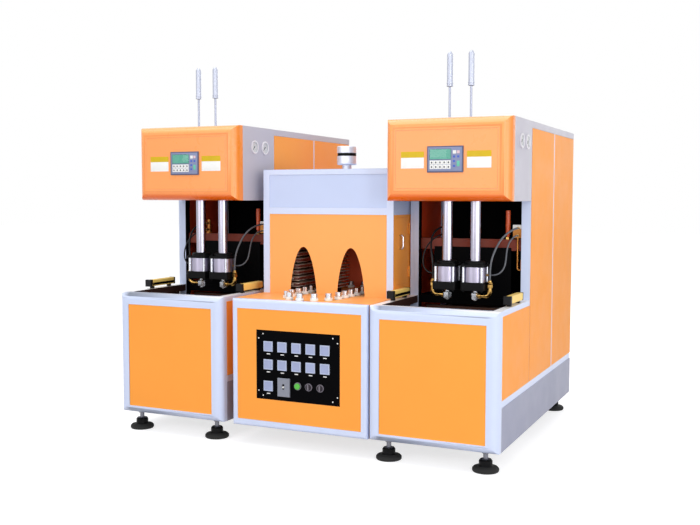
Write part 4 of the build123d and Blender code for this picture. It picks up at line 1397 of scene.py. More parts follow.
@dataclass
class Heads:
    """Heads with their rounded hoods, operator controllers, blank plates and pressure gauges."""

    middle: float = 342.5
    width: float = 665.0
    groove_inset: float = 25.0
    groove_depths: tuple[float, float] = (0.2, 1.5)
    groove_zs: tuple[float, float] = (1300.0, 1690.0)
    front_y: float = 155.0
    bezel_y: float = 147.0
    screen_left: float = 264.5
    screen_top: float = 1542.0
    screen_size: tuple[float, float] = (108.0, 48.0)
    case_half: tuple[float, float] = (92.0, 64.0)
    case_z: float = 1494.0
    case_rim: float = 6.0
    case_depths: tuple[float, float] = (-0.5, -8.2)
    back_margin: float = 9.0
    back_depth: float = -53.0
    film_depths: tuple[float, float] = (0.0, -1.2)
    frame_margin: float = 2.5
    frame_depths: tuple[float, float] = (0.25, -0.6)
    screen_depths: tuple[float, float] = (0.45, -0.4)
    window_depths: tuple[float, float] = (1.0, 0.65)
    key_first: tuple[float, float] = (275.0, 1456.5)
    key_pitch: float = 21.6
    key_foot: float = 0.3
    key_height: float = 1.2
    mark_height: float = 0.2
    mark_proud: float = 1.25
    plate_spans: tuple[tuple[float, float], ...] = ((111.0, 232.0), (452.0, 573.0))
    plate_low: float = 1451.0
    plate_high: float = 1533.0
    plate_proud: float = 0.8
    band_share: float = 0.36
    band_depths: tuple[float, float] = (1.0, 0.4)
    band_lap: float = 0.3
    gauge_x: float = 666.0
    gauge_ys: tuple[float, ...] = (360.0, 475.0)
    gauge_z: float = 1587.0
    dial_radius: float = 30.0
    dial_reach: float = 0.4
    print_gap: float = 0.1
    glass_gap: float = 4.6
    glass_thickness: float = 0.6
    tick_radius: float = 26.0
    tick_half: tuple[float, float] = (0.3, 2.0)
    tick_thickness: float = 0.2
    tick_count: int = 41
    first_angle: float = 225.0
    sweep: float = 270.0
    numerals: tuple[str, ...] = ("0", "2", "4", "6", "8", "10")
    numeral_radius: float = 19.0
    numeral_size: float = 5.5
    numeral_drop: float = 2.0
    numeral_depth: float = 0.1

    def build(self) -> None:
        """Builds the faces of both heads."""
        self.controllers()
        self.gauges()
        for unit in UNITS:
            dress(f"{unit.name}_head_box", GREY)
            name = f"{unit.name}_hood"
            # Painted shade: the groove round the hood's flat front gets a darker enamel
            rules = (Rule(HOOD_GROOVE_SHADE, lambda p, n: self.in_groove(p)),)
            recast(name, f"{name}_cover", Slots.ORANGE, rules, ORANGE_HOOD)
            self.blank_plates(unit)
            self.dials(unit)
            for place in ("front", "rear"):
                dress(f"{unit.name}_needle_{place}", BLACK)

    def face_box(
        self,
        shape: Shape,
        unit: Cabinet,
        low: tuple[float, float],
        high: tuple[float, float],
        depths: tuple[float, float],
        finish: Finish,
        radius: float = 0.0,
    ) -> None:
        """Adds a flat block on the hood, by its corners seen from the front.

        Args:
            shape: Shape that gets the block.
            unit: The blow unit.
            low: Lower left corner, from the unit's left and the floor.
            high: Upper right corner.
            depths: Its front and its back, in front of the bezel's face.
            finish: Finish of the block.
            radius: Radius of its edges in millimetres.
        """
        front = unit.at(low[0], self.bezel_y - depths[0], low[1])
        back = unit.at(high[0], self.bezel_y - depths[1], high[1])
        shape.box(front, back, finish, radius * MM)

    def controllers(self) -> None:
        """Controllers: case, keypad film with display and window, and their keys."""
        case = Shape()
        windows = Shape()
        left, low = self.middle - self.case_half[0], self.case_z - self.case_half[1]
        right, high = self.middle + self.case_half[0], self.case_z + self.case_half[1]
        rim, back, margin = self.case_rim, self.back_margin, self.frame_margin
        screen = self.screen_left, self.screen_top - self.screen_size[1]
        screen_end = self.screen_left + self.screen_size[0], self.screen_top
        for unit in UNITS:
            ends = (left, low), (right, high)
            self.face_box(case, unit, *ends, self.case_depths, CONTROLLER_CASE, 1.6)
            ends = (left + back, low + back), (right - back, high - back)
            depths = self.case_depths[1], self.back_depth
            self.face_box(case, unit, *ends, depths, BLACK_PLASTIC, 1.0)
            ends = (left + rim, low + rim), (right - rim, high - rim)
            self.face_box(case, unit, *ends, self.film_depths, MEMBRANE, 0.3)
            ends = tuple(v - margin for v in screen), tuple(v + margin for v in screen_end)
            self.face_box(case, unit, *ends, self.frame_depths, CONTROLLER_CASE, 0.1)
            self.face_box(case, unit, screen, screen_end, self.screen_depths, SCREEN)
            self.face_box(windows, unit, screen, screen_end, self.window_depths, GLASS, 0.1)
        settle(case.object("operator_controllers"), ROOT, Slots.DARK, "controllers")
        settle(windows.object("display_windows"), ROOT, Slots.LAMP)
        self.keys("white_keys", self.white_keys(), (20.2, 20.0), WHITE_PLASTIC)
        self.keys("white_key_marks", self.white_keys(), (7.0, 8.5), KEY_INK, self.mark_proud)
        self.keys("menu_keys", [(391.5, 1528.0)], (17.0, 16.0), WHITE_PLASTIC)
        self.keys("stop_keys", [(410.5, 1528.0)], (14.0, 14.0), PINK_KEY)
        blue = [(389.5, 1506.0), (410.5, 1506.0), (389.5, 1484.0), (389.5, 1461.0)]
        self.keys("blue_keys", blue, (11.0, 10.0), BLUE_KEY)
        self.keys("start_keys", [(410.5, 1472.0)], (14.0, 26.0), GREEN_KEY)

    def white_keys(self) -> list[tuple[float, float]]:
        """Middles of the ten white keys, from the unit's left and the floor.

        Returns:
            Two middles for each of the five columns.
        """
        (left, low), pitch = self.key_first, self.key_pitch
        return [(left + pitch * i, low + pitch * k) for i in range(5) for k in range(2)]

    def keys(
        self,
        name: str,
        middles: Sequence[tuple[float, float]],
        size: tuple[float, float],
        finish: Finish,
        proud: float = 0.0,
    ) -> None:
        """Adds equal keys to both controllers.

        Args:
            name: Name of the piece.
            middles: Middle of each key, from the unit's left and the floor.
            size: Width and height of a key.
            finish: Finish of the keys.
            proud: How far their foot stands in front of the bezel's face.
        """
        wide, tall = size[0] / 2 * MM, size[1] / 2 * MM
        height, radius = (self.mark_height, 0.00005) if proud else (self.key_height, 0.0004)
        cap = Shape()
        low, high = (-wide, -tall, -self.key_foot * MM), (wide, tall, height * MM)
        cap.box(low, high, finish, radius)
        front = self.bezel_y - proud
        turn = Matrix.Rotation(math.pi / 2, 4, "X")
        spots = [(unit.at(x, front, z), turn) for unit in UNITS for x, z in middles]
        Scatter().place(name, Slots.WHITE, cap.object("item_key"), spots, finish)

    def in_groove(self, p: Vector) -> bool:
        """Tells whether a face lies in the groove round the hood's flat front.

        Args:
            p: Middle of the face, in millimetres of the unit.

        Returns:
            Whether it does.
        """
        across = self.groove_inset < p.x < self.width - self.groove_inset
        near, far = self.groove_depths
        deep = self.front_y + near < p.y < self.front_y + far
        return across and deep and self.groove_zs[0] < p.z < self.groove_zs[1]

    def blank_plates(self, unit: Cabinet) -> None:
        """Two plain plates, yellow over white, on the hood.

        Args:
            unit: The blow unit.
        """
        shape = Shape()
        split = self.plate_high - (self.plate_high - self.plate_low) * self.band_share
        for x0, x1 in self.plate_spans:
            low = unit.at(x0, self.front_y - self.plate_proud, self.plate_low)
            high = unit.at(x1, self.front_y, self.plate_high)
            shape.box(low, high, SIGN_WHITE, radius=0.0003)
            low = unit.at(x0, self.front_y - self.band_depths[0], split)
            high = unit.at(x1, self.front_y - self.band_depths[1], self.plate_high + self.band_lap)
            shape.box(low, high, SIGN_YELLOW)
        settle(shape.object(f"{unit.name}_blank_plates"), ROOT, Slots.WHITE)

    def gauges(self) -> None:
        """Chromed gauge cases with a pale dial card."""
        reach = self.dial_reach
        rules = (Rule(DIAL, lambda p, n: n.x > FACING and abs(p.x - self.gauge_x) < reach),)
        recast("gauges", "gauge_cases", Slots.CHROME, rules, GAUGE_RIM)

    def angle(self, share: float) -> float:
        """Angle on the dial, in radians from upright and clockwise, at a share of the range."""
        return math.radians(self.first_angle + self.sweep * share)

    def dials(self, unit: Cabinet) -> None:
        """Scale marks, numerals and glass of the two gauges of one unit.

        Args:
            unit: The blow unit.
        """
        tick = Shape()
        wide, tall = (half * MM for half in self.tick_half)
        tick.box((-wide, -tall, 0), (wide, tall, self.tick_thickness * MM), DIAL_INK)
        face = self.gauge_x + self.print_gap
        spots = []
        figures = Shape()
        glass = Shape()
        for y in self.gauge_ys:
            for i in range(self.tick_count):
                a = self.angle(i / (self.tick_count - 1))
                across = self.tick_radius * math.sin(a)
                up = self.tick_radius * math.cos(a)
                turn = Matrix.Rotation(-a, 4, "X") @ Matrix.Rotation(math.pi / 2, 4, "Z")
                turn = turn @ Matrix.Rotation(math.pi / 2, 4, "X")
                spots.append((unit.at(face, y + across, self.gauge_z + up), turn))
            for i, text in enumerate(self.numerals):
                a = self.angle(i / (len(self.numerals) - 1))
                across = self.numeral_radius * math.sin(a)
                up = self.numeral_radius * math.cos(a) - self.numeral_drop
                self.numeral(figures, text, unit.at(face, y + across, self.gauge_z + up))
            edge, thick = self.dial_radius * MM, self.glass_thickness * MM
            disc = [(0, 0), (edge, 0), (edge, thick), (0, thick)]
            foot = unit.at(self.gauge_x + self.glass_gap, y, self.gauge_z)
            glass.turned(disc, foot, GLASS, Axis.X)
        item = tick.object("item_tick")
        Scatter().place(f"{unit.name}_dial_marks", Slots.DARK, item, spots, DIAL_INK)
        settle(figures.object(f"{unit.name}_dial_numerals"), ROOT, Slots.DARK)
        settle(glass.object(f"{unit.name}_gauge_glasses"), ROOT, Slots.LAMP)

    def numeral(self, shape: Shape, text: str, place: Vector) -> None:
        """Adds a small printed number to a shape, facing +X.

        Args:
            shape: Shape that gets the number.
            text: The number.
            place: Middle of its foot.
        """
        curve = bpy.data.curves.new("numeral", "FONT")
        curve.body = text
        curve.size = self.numeral_size * MM
        curve.align_x = "CENTER"
        curve.extrude = self.numeral_depth * MM
        carrier = new_object("numeral", curve)
        mesh = baked(carrier)
        turn = Matrix.Rotation(math.pi / 2, 4, "Z") @ Matrix.Rotation(math.pi / 2, 4, "X")
        mesh.transform(Matrix.Translation(place) @ turn)
        before = set(shape.mesh.faces)
        shape.mesh.from_mesh(mesh)
        shape.paint([f for f in shape.mesh.faces if f not in before], DIAL_INK)
        bpy.data.objects.remove(carrier)


@dataclass
class BlowStations:
    """Guide tubes, seal cylinders, nozzles, stretch carriages, fittings and air hoses."""

    nozzle_xs: tuple[float, ...] = (267.5, 417.5)
    nozzle_bore: float = 7.6
    blow_y: float = 420.0
    tie_offset: float = 48.0
    flange_top: float = 967.0
    cap_bottom: float = 835.0
    nozzle_bottom: float = 787.0
    elbow_reach: float = 78.0
    elbow_bend: float = 24.0
    elbow_z: float = 806.0
    stop_xs: tuple[float, float] = (286.0, 399.0)
    stop_y: float = 380.0
    sleeve_radius: float = 15.0
    rod_reach: float = 8.0
    nut_radius: float = 6.5
    nut_height: float = 7.0
    port_z: float = 912.0
    port_reach: float = 8.0
    port_flank: float = 58.5
    bridge_bottom: float = 1595.0
    carriage_top: float = 1613.0
    sleeve_bottom: float = 1869.0
    left_post_end: float = 500.0
    bowl_xs: tuple[float, float] = (510.0, 550.0)
    bowl_bottom: float = 1105.0
    valve_left: float = 560.0
    valve_front: float = 588.0
    valve_bottom: float = 1098.0
    valve_top: float = 1166.0
    valve_span: tuple[float, float] = (567.0, 615.0)
    valve_cap: float = 20.0
    valve_cap_ys: tuple[float, float] = (589.2, 620.8)
    valve_cap_wall: float = 0.8
    blow_hose: float = 10.0
    pilot_hose: float = 8.0
    routes: dict[str, tuple[tuple[float, float, float], ...]] = field(default_factory=dict)
    lengths: dict[str, float] = field(default_factory=dict)

    def __post_init__(self) -> None:
        """Sets the hoses' routes, in millimetres from the unit's left, front and table."""
        self.routes["hose_blow_left"] = (
            (189.5, 420, 109.3),
            (189.5, 420, 163),
            (181, 428, 221),
            (165, 450, 277),
            (157, 486, 323),
            (168, 520, 358),
            (185, 553, 373),
            (185, 598, 373),
        )
        self.routes["hose_blow_right"] = (
            (495.5, 420, 109.3),
            (495.5, 420, 163),
            (500, 430, 215),
            (514, 446, 265),
            (536, 460, 313),
            (563, 478, 347),
            (586, 505, 365),
            (597, 540, 373),
            (597, 573, 373),
        )
        self.routes["hose_pilot_left"] = (
            (197.5, 440, 135),
            (166.5, 440, 135),
            (138, 449, 149),
            (118, 460, 178),
            (114, 474, 223),
            (123, 492, 265),
            (138, 508, 293),
            (158, 526, 315),
            (176, 547, 329),
            (185, 572, 335),
            (185, 598, 335),
        )
        self.routes["hose_pilot_right"] = (
            (487.5, 440, 135),
            (518.5, 440, 135),
            (544, 449, 149),
            (561, 460, 178),
            (565, 470, 219),
            (564, 486, 263),
            (569, 500, 295),
            (579, 514, 317),
            (589, 530, 330),
            (597, 551, 335),
            (597, 573, 335),
        )
        self.lengths.update(hose_blow_left=366, hose_blow_right=371)
        self.lengths.update(hose_pilot_left=346, hose_pilot_right=314)

    def build(self) -> None:
        """Builds both blow stations."""
        dress("guide_tubes", CHROME_TUBE)
        dress("seal_flanges", BLACK)
        dress("guard_plates", MATT_BLACK)
        # Painted shade: the cross beams get a dark red-brown
        dress("cross_beams", BEAM_SHADE)
        self.barrels()
        self.fittings()
        for unit in UNITS:
            self.nozzles(unit)
            self.carriage(unit)
            self.nuts(unit)
            for name in self.routes:
                self.hose(unit, name)

    def barrels(self) -> None:
        """Drawn aluminium barrels with bright tie rods and brass side ports."""
        rules = (
            Rule(BRASS, lambda p, n: self.on_port(p)),
            Rule(BRIGHT_STEEL, lambda p, n: self.on_rod(p)),
        )
        name = "seal_cylinder_barrels"
        recast("seal_barrels", name, Slots.ALUMINIUM, rules, ALUMINIUM_Z)

    def from_axis(self, p: Vector) -> float:
        """Sideways distance of a point from the nearer cylinder's axis."""
        return min(abs(p.x - x) for x in self.nozzle_xs)

    def on_port(self, p: Vector) -> bool:
        """Tells whether a point lies on a side port."""
        return abs(p.z - self.port_z) < self.port_reach and self.from_axis(p) > self.port_flank

    def on_rod(self, p: Vector) -> bool:
        """Tells whether a point lies on a tie rod."""
        offsets = self.from_axis(p), abs(p.y - self.blow_y)
        return all(abs(offset - self.tie_offset) < self.rod_reach for offset in offsets)

    def fittings(self) -> None:
        """Brass distributor post, valve block with a white cap, red filter bowl and copper pipe."""
        bowl, front, bottom = self.bowl_xs, self.valve_front, self.valve_bottom
        # Painted shade: the valve block and post get the darker brass
        rules = (
            Rule(RED_BOWL, lambda p, n: bowl[0] < p.x < bowl[1] and p.z > self.bowl_bottom),
            Rule(BRASS_SHADE, lambda p, n: p.x > self.valve_left and p.z > bottom and p.y > front),
            Rule(COPPER, lambda p, n: p.x > self.valve_left and p.z < bottom),
            Rule(BRASS_SHADE, lambda p, n: p.x < self.left_post_end),
        )
        recast("air_fittings", "air_fitting_set", Slots.BRASS, rules, BRASS)
        cap = Shape()
        wall = self.valve_cap_wall
        for unit in UNITS:
            x0, x1 = self.valve_span[0] - wall, self.valve_span[1] + wall
            low = unit.at(x0, self.valve_cap_ys[0], self.valve_top - self.valve_cap)
            high = unit.at(x1, self.valve_cap_ys[1], self.valve_top + wall)
            cap.box(low, high, WHITE_PLASTIC, radius=0.0006)
        settle(cap.object("valve_caps"), ROOT, Slots.WHITE)

    def nozzles(self, unit: Cabinet) -> None:
        """Steel hexagon nozzles on their hollow rods, with forged brass elbows on the outer side.

        Args:
            unit: The blow unit.
        """
        for side, x, way in zip(("left", "right"), self.nozzle_xs, (-1, 1)):
            shape = Shape()
            foot = unit.at(x, self.blow_y, self.nozzle_bottom)
            bore = self.nozzle_bore
            wide = bore / math.cos(math.pi / 6)
            hexagon = [(wide, 0.0), (19.0, 0.0), (23.0, 3.5)]
            hexagon += [(23.0, 31.5), (19.5, 34.5), (wide, 34.5)]
            shape.turned(self.in_metres(hexagon), foot, BRIGHT_STEEL, sides=6, bored=True)
            neck = [(bore, 34.0), (15.0, 34.0), (15.0, 36.5), (11.0, 38.5), (11.0, 43.0)]
            neck += [(12.0, 44.0), (12.0, 144.0), (47.8, 144.0), (47.8, 159.5), (bore, 159.5)]
            shape.turned(self.in_metres(neck), foot, BRIGHT_STEEL, bored=True)
            lip = [(bore, -7.0), (11.0, -7.0), (14.0, -5.0), (14.0, 0.5), (bore, 0.5)]
            shape.turned(self.in_metres(lip), foot, BRIGHT_STEEL, bored=True)
            self.elbow(shape, unit, x, way)
            node = f"{unit.name}_nozzle_{side}"
            settle(shape.object(f"{node}_set"), node, Slots.STEEL, node)

    def in_metres(self, profile: Sequence[tuple[float, float]]) -> list[tuple[float, float]]:
        """Turns a profile from millimetres to metres."""
        return [(radius * MM, height * MM) for radius, height in profile]

    def elbow(self, shape: Shape, unit: Cabinet, x: float, way: int) -> None:
        """Adds the elbow of one nozzle: threaded foot, bend, hexagon and hose nut.

        Args:
            shape: Shape that gets it.
            unit: The blow unit.
            x: Axis of the nozzle, from the unit's left.
            way: Minus one where the elbow points to the left, else one.
        """
        end, bend, steps = self.elbow_reach, self.elbow_bend, 8
        spots = [(19.0, 0.0), (32.0, 0.0), (32.5, 0.0), (40.0, 0.0), (end - bend, 0.0)]
        radii = [14.0, 14.0, 9.0, 9.0, 10.5]
        for i in range(1, steps + 1):
            a = math.pi / 2 * i / steps
            spots.append((end - bend + bend * math.sin(a), bend - bend * math.cos(a)))
            radii.append(12.0)
        spots += [(end, 44.0), (end, 46.0)]
        radii += [11.0, 11.0]
        line = [unit.at(x + way * dx, self.blow_y, self.elbow_z + dz) for dx, dz in spots]
        shape.swept(line, [radius * MM for radius in radii], BRASS)
        top = unit.at(x + way * end, self.blow_y, self.elbow_z)
        hexagon = [(0.0, 42.0), (13.2, 42.0), (15.0, 44.0)]
        hexagon += [(15.0, 58.0), (13.2, 60.0), (0.0, 60.0)]
        shape.turned(self.in_metres(hexagon), top, BRASS, sides=6)
        nut = [(0.0, 60.0), (12.5, 60.0), (13.5, 61.5), (13.5, 70.0), (11.0, 73.0), (9.5, 73.0)]
        nut += [(9.5, 80.0), (0.0, 80.0)]
        shape.turned(self.in_metres(nut), top, BRASS)

    def carriage(self, unit: Cabinet) -> None:
        """Aluminium bridge with bright rods and pale sleeves over the stop rods.

        Args:
            unit: The blow unit.
        """
        node = f"{unit.name}_stretch_carriage"
        rules = (
            Rule(SLEEVE, lambda p, n: p.z > self.sleeve_bottom),
            Rule(STOP_ROD, lambda p, n: p.z > self.carriage_top),
            Rule(ALUMINIUM, lambda p, n: p.z > self.bridge_bottom),
        )
        recast(node, f"{unit.name}_carriage_set", Slots.CHROME, rules, CHROME, body=node)
        rings = Shape()
        r = self.sleeve_radius
        for x in self.stop_xs:
            foot = unit.at(x, self.stop_y, self.sleeve_bottom + 1)
            for low in (0.0, 12.0):
                ring = [(0.0, low), (r + 0.4, low), (r + 1.4, low + 1), (r + 1.4, low + 7)]
                ring += [(r + 0.4, low + 8), (0.0, low + 8)]
                rings.turned(self.in_metres(ring), foot, SLEEVE)
        settle(rings.object(f"{unit.name}_sleeve_rings"), node, Slots.CHROME)

    def nuts(self, unit: Cabinet) -> None:
        """Nuts of the tie rods, over and under both seal cylinders.

        Args:
            unit: The blow unit.
        """
        spots = []
        for x in self.nozzle_xs:
            for dx in (-self.tie_offset, self.tie_offset):
                for dy in (-self.tie_offset, self.tie_offset):
                    top = unit.at(x + dx, self.blow_y + dy, self.flange_top)
                    under = unit.at(x + dx, self.blow_y + dy, self.cap_bottom)
                    spots += [(top, Axis.Z.matrix()), (under, Axis.DOWN.matrix())]
        item = hexagon_bolt(self.nut_radius * MM, self.nut_height * MM)
        name = f"{unit.name}_tie_rod_nuts"
        Scatter().place(name, Slots.STEEL, item, spots, BLACK, spread=1.0)

    def hose(self, unit: Cabinet, name: str) -> None:
        """One air hose, as a smooth spline through its route.

        Args:
            unit: The blow unit.
            name: Name of the hose's route.
        """
        points = [unit.at(x, y, TABLE + height) for x, y, height in self.routes[name]]
        diameter = (self.blow_hose if "blow" in name else self.pilot_hose) * MM
        curve = bpy.data.curves.new(f"{unit.name}_{name}_curve", "CURVE")
        curve.dimensions = "3D"
        curve.bevel_depth = diameter / 2
        curve.bevel_resolution = 5
        curve.use_fill_caps = True
        curve.resolution_u = 8
        spline = curve.splines.new("NURBS")
        spline.points.add(len(points) - 1)
        for control, point in zip(spline.points, points):
            control.co = (*point, 1)
        spline.order_u = 3
        spline.use_endpoint_u = True
        spline.use_smooth = True
        finish = HOSE if "left" in name else HOSE_GREY
        curve.materials.append(finish.material())
        piece = new_object(f"{unit.name}_{name}_tube", curve)
        settle(piece, ROOT, Slots.HOSE, f"{unit.name}_{name}")


@dataclass
class MouldClamps:
    """Platens, tie bars and clamp cylinders under the tables."""

    def build(self) -> None:
        """Dresses both clamps."""
        # Painted shade: the platens in the dark mould space are dark brown
        dress("front_platens", PLATEN_SHADE)
        dress("clamp_cylinders", BLACK)
        for unit in UNITS:
            dress(f"{unit.name}_rear_platen", PLATEN_SHADE)


@dataclass
class LightCurtains:
    """Yellow light curtain bars on the table rails, with dark windows on their inner sides."""

    front_cap: float = 250.0
    rear_cap: float = 461.0
    bar_bottom: float = 790.0
    window_ys: tuple[float, float] = (253.0, 458.0)
    window_zs: tuple[float, float] = (797.0, 811.0)
    inner_xs: tuple[float, float] = (44.0, 621.0)
    cap_lap: float = 0.2
    bottom_lap: float = 0.1
    window_proud: float = 1.2

    def build(self) -> None:
        """Builds the curtains of both units."""
        front, rear = self.front_cap + self.cap_lap, self.rear_cap - self.cap_lap
        rules = (
            Rule(BLACK_PLASTIC, lambda p, n: p.y < front or p.y > rear),
            Rule(BLACK_PLASTIC, lambda p, n: p.z < self.bar_bottom - self.bottom_lap),
        )
        recast("light_curtains", "light_curtain_bars", Slots.YELLOW, rules, YELLOW)
        shape = Shape()
        for unit in UNITS:
            for x, side in zip(self.inner_xs, (1, -1)):
                edges = sorted((x, x + side * self.window_proud))
                low = unit.at(edges[0], self.window_ys[0], self.window_zs[0])
                high = unit.at(edges[1], self.window_ys[1], self.window_zs[1])
                shape.box(low, high, PLATE_BLACK, radius=0.0004)
        settle(shape.object("light_curtain_windows"), ROOT, Slots.DARK)


@dataclass
class PreformOven:
    """Preform oven: cabinet, control plate, chain of holders, lamps and exhaust cap."""

    width: float = 780.0
    back_y: float = 900.0
    sheet_edge: float = 12.0
    plate_left: float = 147.0
    plate_width: float = 484.0
    plate_bottom: float = 255.0
    plate_y: float = 14.5
    screw_margin: float = 50.0
    plate_lap: float = 0.2
    breaker_slot: tuple[float, float] = (311.0, 330.8)
    slot_half: tuple[float, float] = (6.2, 14.2)
    slot_proud: float = 9.8
    knob_proud: float = 9.2
    meter_proud: float = 6.0
    meter_size: float = 53.0
    meter_pitch: float = 82.0
    meter_left: float = 45.0
    meter_rows: tuple[float, ...] = (158.0, 253.0)
    meter_low: float = 45.0
    label_size: tuple[float, float] = (20.0, 4.5)
    label_thickness: float = 0.6
    label_drop: float = 13.0
    cup_rise: float = 14.1
    chain_depth: float = 14.0
    drive_y: float = 640.0
    drive_half: float = 75.0
    arch_xs: tuple[float, float] = (247.0, 533.0)
    bank_reaches: tuple[float, float] = (100.0, 160.0)
    bank_lengths: tuple[float, float] = (440.0, 185.0)
    bank_counts: tuple[int, int] = (7, 6)
    bank_y: float = 390.0
    lamp_low: float = 822.0
    lamp_pitch: float = 34.0
    lamp_end: float = 14.0
    fin_width: float = 52.0
    fin_half: float = 1.0
    fin_gap: float = 2.0
    vent_band: tuple[float, float] = (1539.0, 1556.0)

    def build(self) -> None:
        """Builds the oven."""
        dress("oven_frame", PALE)
        self.walls()
        # Painted light: the oven front gets the paler copy of the orange enamel
        dress("oven_front", ORANGE_PAINTED_LIGHT)
        dress("oven_roof", OVEN_BLUE)
        dress("oven_door", ORANGE)
        dress("oven_door_handle", CHROME)
        dress("reflectors", REFLECTOR)
        for name in ("sprocket_front", "sprocket_rear"):
            dress(name, STEEL)
        self.control_plate()
        self.labels()
        self.conveyor()
        self.lamps()
        self.ribs()
        self.vent()

    def walls(self) -> None:
        """Enamelled sheets, with painted shade on their inner side and painted light on their
        upward faces.
        """
        edge = self.sheet_edge
        rules = (
            # Painted shade: the inner faces of the oven's sheets
            Rule(OVEN_INNER_SHADE, lambda p, n: p.x < edge and n.x > FACING),
            Rule(OVEN_INNER_SHADE, lambda p, n: p.x > self.width - edge and n.x < -FACING),
            Rule(OVEN_INNER_SHADE, lambda p, n: p.y > self.back_y - edge and n.y < -FACING),
            # Painted light: upward faces at table height get the paler enamel
            Rule(ORANGE_PAINTED_LIGHT, lambda p, n: n.z > FACING and p.z > TABLE - edge),
        )
        recast("oven_panels", "oven_sheets", Slots.ORANGE, rules, ORANGE, local=OVEN.local)

    def control_plate(self) -> None:
        """Plate, meters, breaker, push button and selector knobs."""
        fine = {"edge": FINE_EDGE, "local": OVEN.local}
        middle = self.plate_left + self.plate_width / 2
        reach = self.plate_width / 2 - self.screw_margin
        face = self.plate_y - self.plate_lap
        rules = (
            Rule(WHITE_PLASTIC, lambda p, n: p.y < face and abs(p.x - middle) > reach),
            # Painted highlight in part: the collars round the knobs get a lighter grey
            Rule(KNOB_GRIP_HIGHLIGHT, lambda p, n: p.y < face),
        )
        recast("control_plate", "control_plate_set", Slots.BLACK, rules, PLATE_BLACK, **fine)
        front = self.plate_y - self.meter_proud
        rules = (Rule(METER_FACE, lambda p, n: n.y < -FACING and p.y > front),)
        recast("meters", "panel_meters", Slots.DARK, rules, METER_CASE, **fine)
        rules = (Rule(BLACK_PLASTIC, lambda p, n: self.in_slot(p)),)
        recast("breaker", "breaker_case", Slots.WHITE, rules, BREAKER_GREY, **fine)
        dress("breaker_lever", WHITE_PLASTIC)
        dress("start_button", GREEN_PLASTIC)
        # Painted highlight in part: the knobs' fronts get a lighter grey
        rules = (Rule(KNOB_GRIP_HIGHLIGHT, lambda p, n: p.y < self.plate_y - self.knob_proud),)
        for name in ("knob_left", "knob_right"):
            piece = f"selector_{name}"
            recast(name, piece, Slots.DARK, rules, DARK_GREY_PLASTIC, body=name, **fine)

    def in_slot(self, p: Vector) -> bool:
        """Tells whether a face of the breaker lies in the slot of its lever.

        Args:
            p: Middle of the face, in millimetres of the oven.

        Returns:
            Whether it does.
        """
        (x, z), (half_x, half_z) = self.breaker_slot, self.slot_half
        deep = p.y > self.plate_y - self.slot_proud
        return deep and abs(p.x - x) < half_x and abs(p.z - z) < half_z

    def meter_corners(self) -> list[tuple[float, float]]:
        """Lower left corner of each meter, from the oven's left side and the floor.

        Returns:
            Two rows of five corners, then the single one below them.
        """
        columns = [self.meter_left + self.meter_pitch * i for i in range(5)]
        corners = [(x, z) for z in self.meter_rows for x in columns]
        corners.append((self.meter_left, self.meter_low))
        return [(self.plate_left + x, self.plate_bottom + z) for x, z in corners]

    def labels(self) -> None:
        """Small blank label strips under the meters."""
        width, height = (size / 2 * MM for size in self.label_size)
        strip = Shape()
        thick = self.label_thickness * MM
        strip.box((-width, -height, 0), (width, height, thick), SIGN_WHITE)
        turn = Matrix.Rotation(math.pi / 2, 4, "X")
        spots = []
        for x, z in self.meter_corners():
            middle = x + self.meter_size / 2
            spots.append((OVEN.at(middle, self.plate_y, z - self.label_drop), turn))
        item = strip.object("item_label")
        Scatter().place("meter_label_strips", Slots.WHITE, item, spots, SIGN_WHITE)

    def conveyor(self) -> None:
        """Steel chain with white cups and bright spindles, black drive and pale rails."""
        middle, half = self.width / 2, self.drive_half
        rules = (
            Rule(BRIGHT_STEEL, lambda p, n: p.z > TABLE + self.cup_rise),
            Rule(WHITE_PLASTIC, lambda p, n: p.z > TABLE - SKIN),
            Rule(STEEL, lambda p, n: p.z > TABLE - self.chain_depth),
            Rule(BLACK, lambda p, n: p.y > self.drive_y and abs(p.x - middle) < half),
        )
        node, slot = "preform_conveyor", Slots.ALUMINIUM
        recast(node, "preform_chain", slot, rules, PALE, FINE_EDGE, OVEN.local)

    def lamps(self) -> None:
        """Glowing quartz lamps with ceramic ends."""
        starts = [x - reach for x, reach in zip(self.arch_xs, self.bank_reaches)]
        end = self.lamp_end
        rules = (Rule(LAMP_END, lambda p, n: min(abs(p.x - x) for x in starts) < end),)
        recast("lamps", "quartz_lamps", Slots.LAMP, rules, LAMP, 0.0, OVEN.local)

    def ribs(self) -> None:
        """Reflector fins between the lamps of both banks."""
        sizes = zip(self.arch_xs, self.bank_reaches, self.bank_lengths, self.bank_counts)
        half, gap = self.fin_half * MM, self.fin_gap
        for name, (middle, reach, length, count) in zip(("left", "right"), sizes):
            fin = Shape()
            end = self.fin_width * MM, (length - 2 * gap) * MM, half
            fin.box((0, 0, -half), end, FIN, radius=0.0004)
            spots = []
            for i in range(2 * count):
                z = self.lamp_low + self.lamp_pitch * (i / 2 - 0.25)
                spots.append((OVEN.at(middle - reach, self.bank_y + gap, z), Matrix()))
            item = fin.object("item_fin")
            Scatter().place(f"{name}_reflector_fins", Slots.ALUMINIUM, item, spots, FIN)

    def vent(self) -> None:
        """Spun aluminium exhaust cap with a dark band."""
        low, high = self.vent_band
        rules = (Rule(BLACK, lambda p, n: low < p.z < high and abs(n.z) < STANDING),)
        node, slot = "vent_cap", Slots.ALUMINIUM
        recast(node, "exhaust_cap", slot, rules, SPUN_ALUMINIUM, local=OVEN.local)


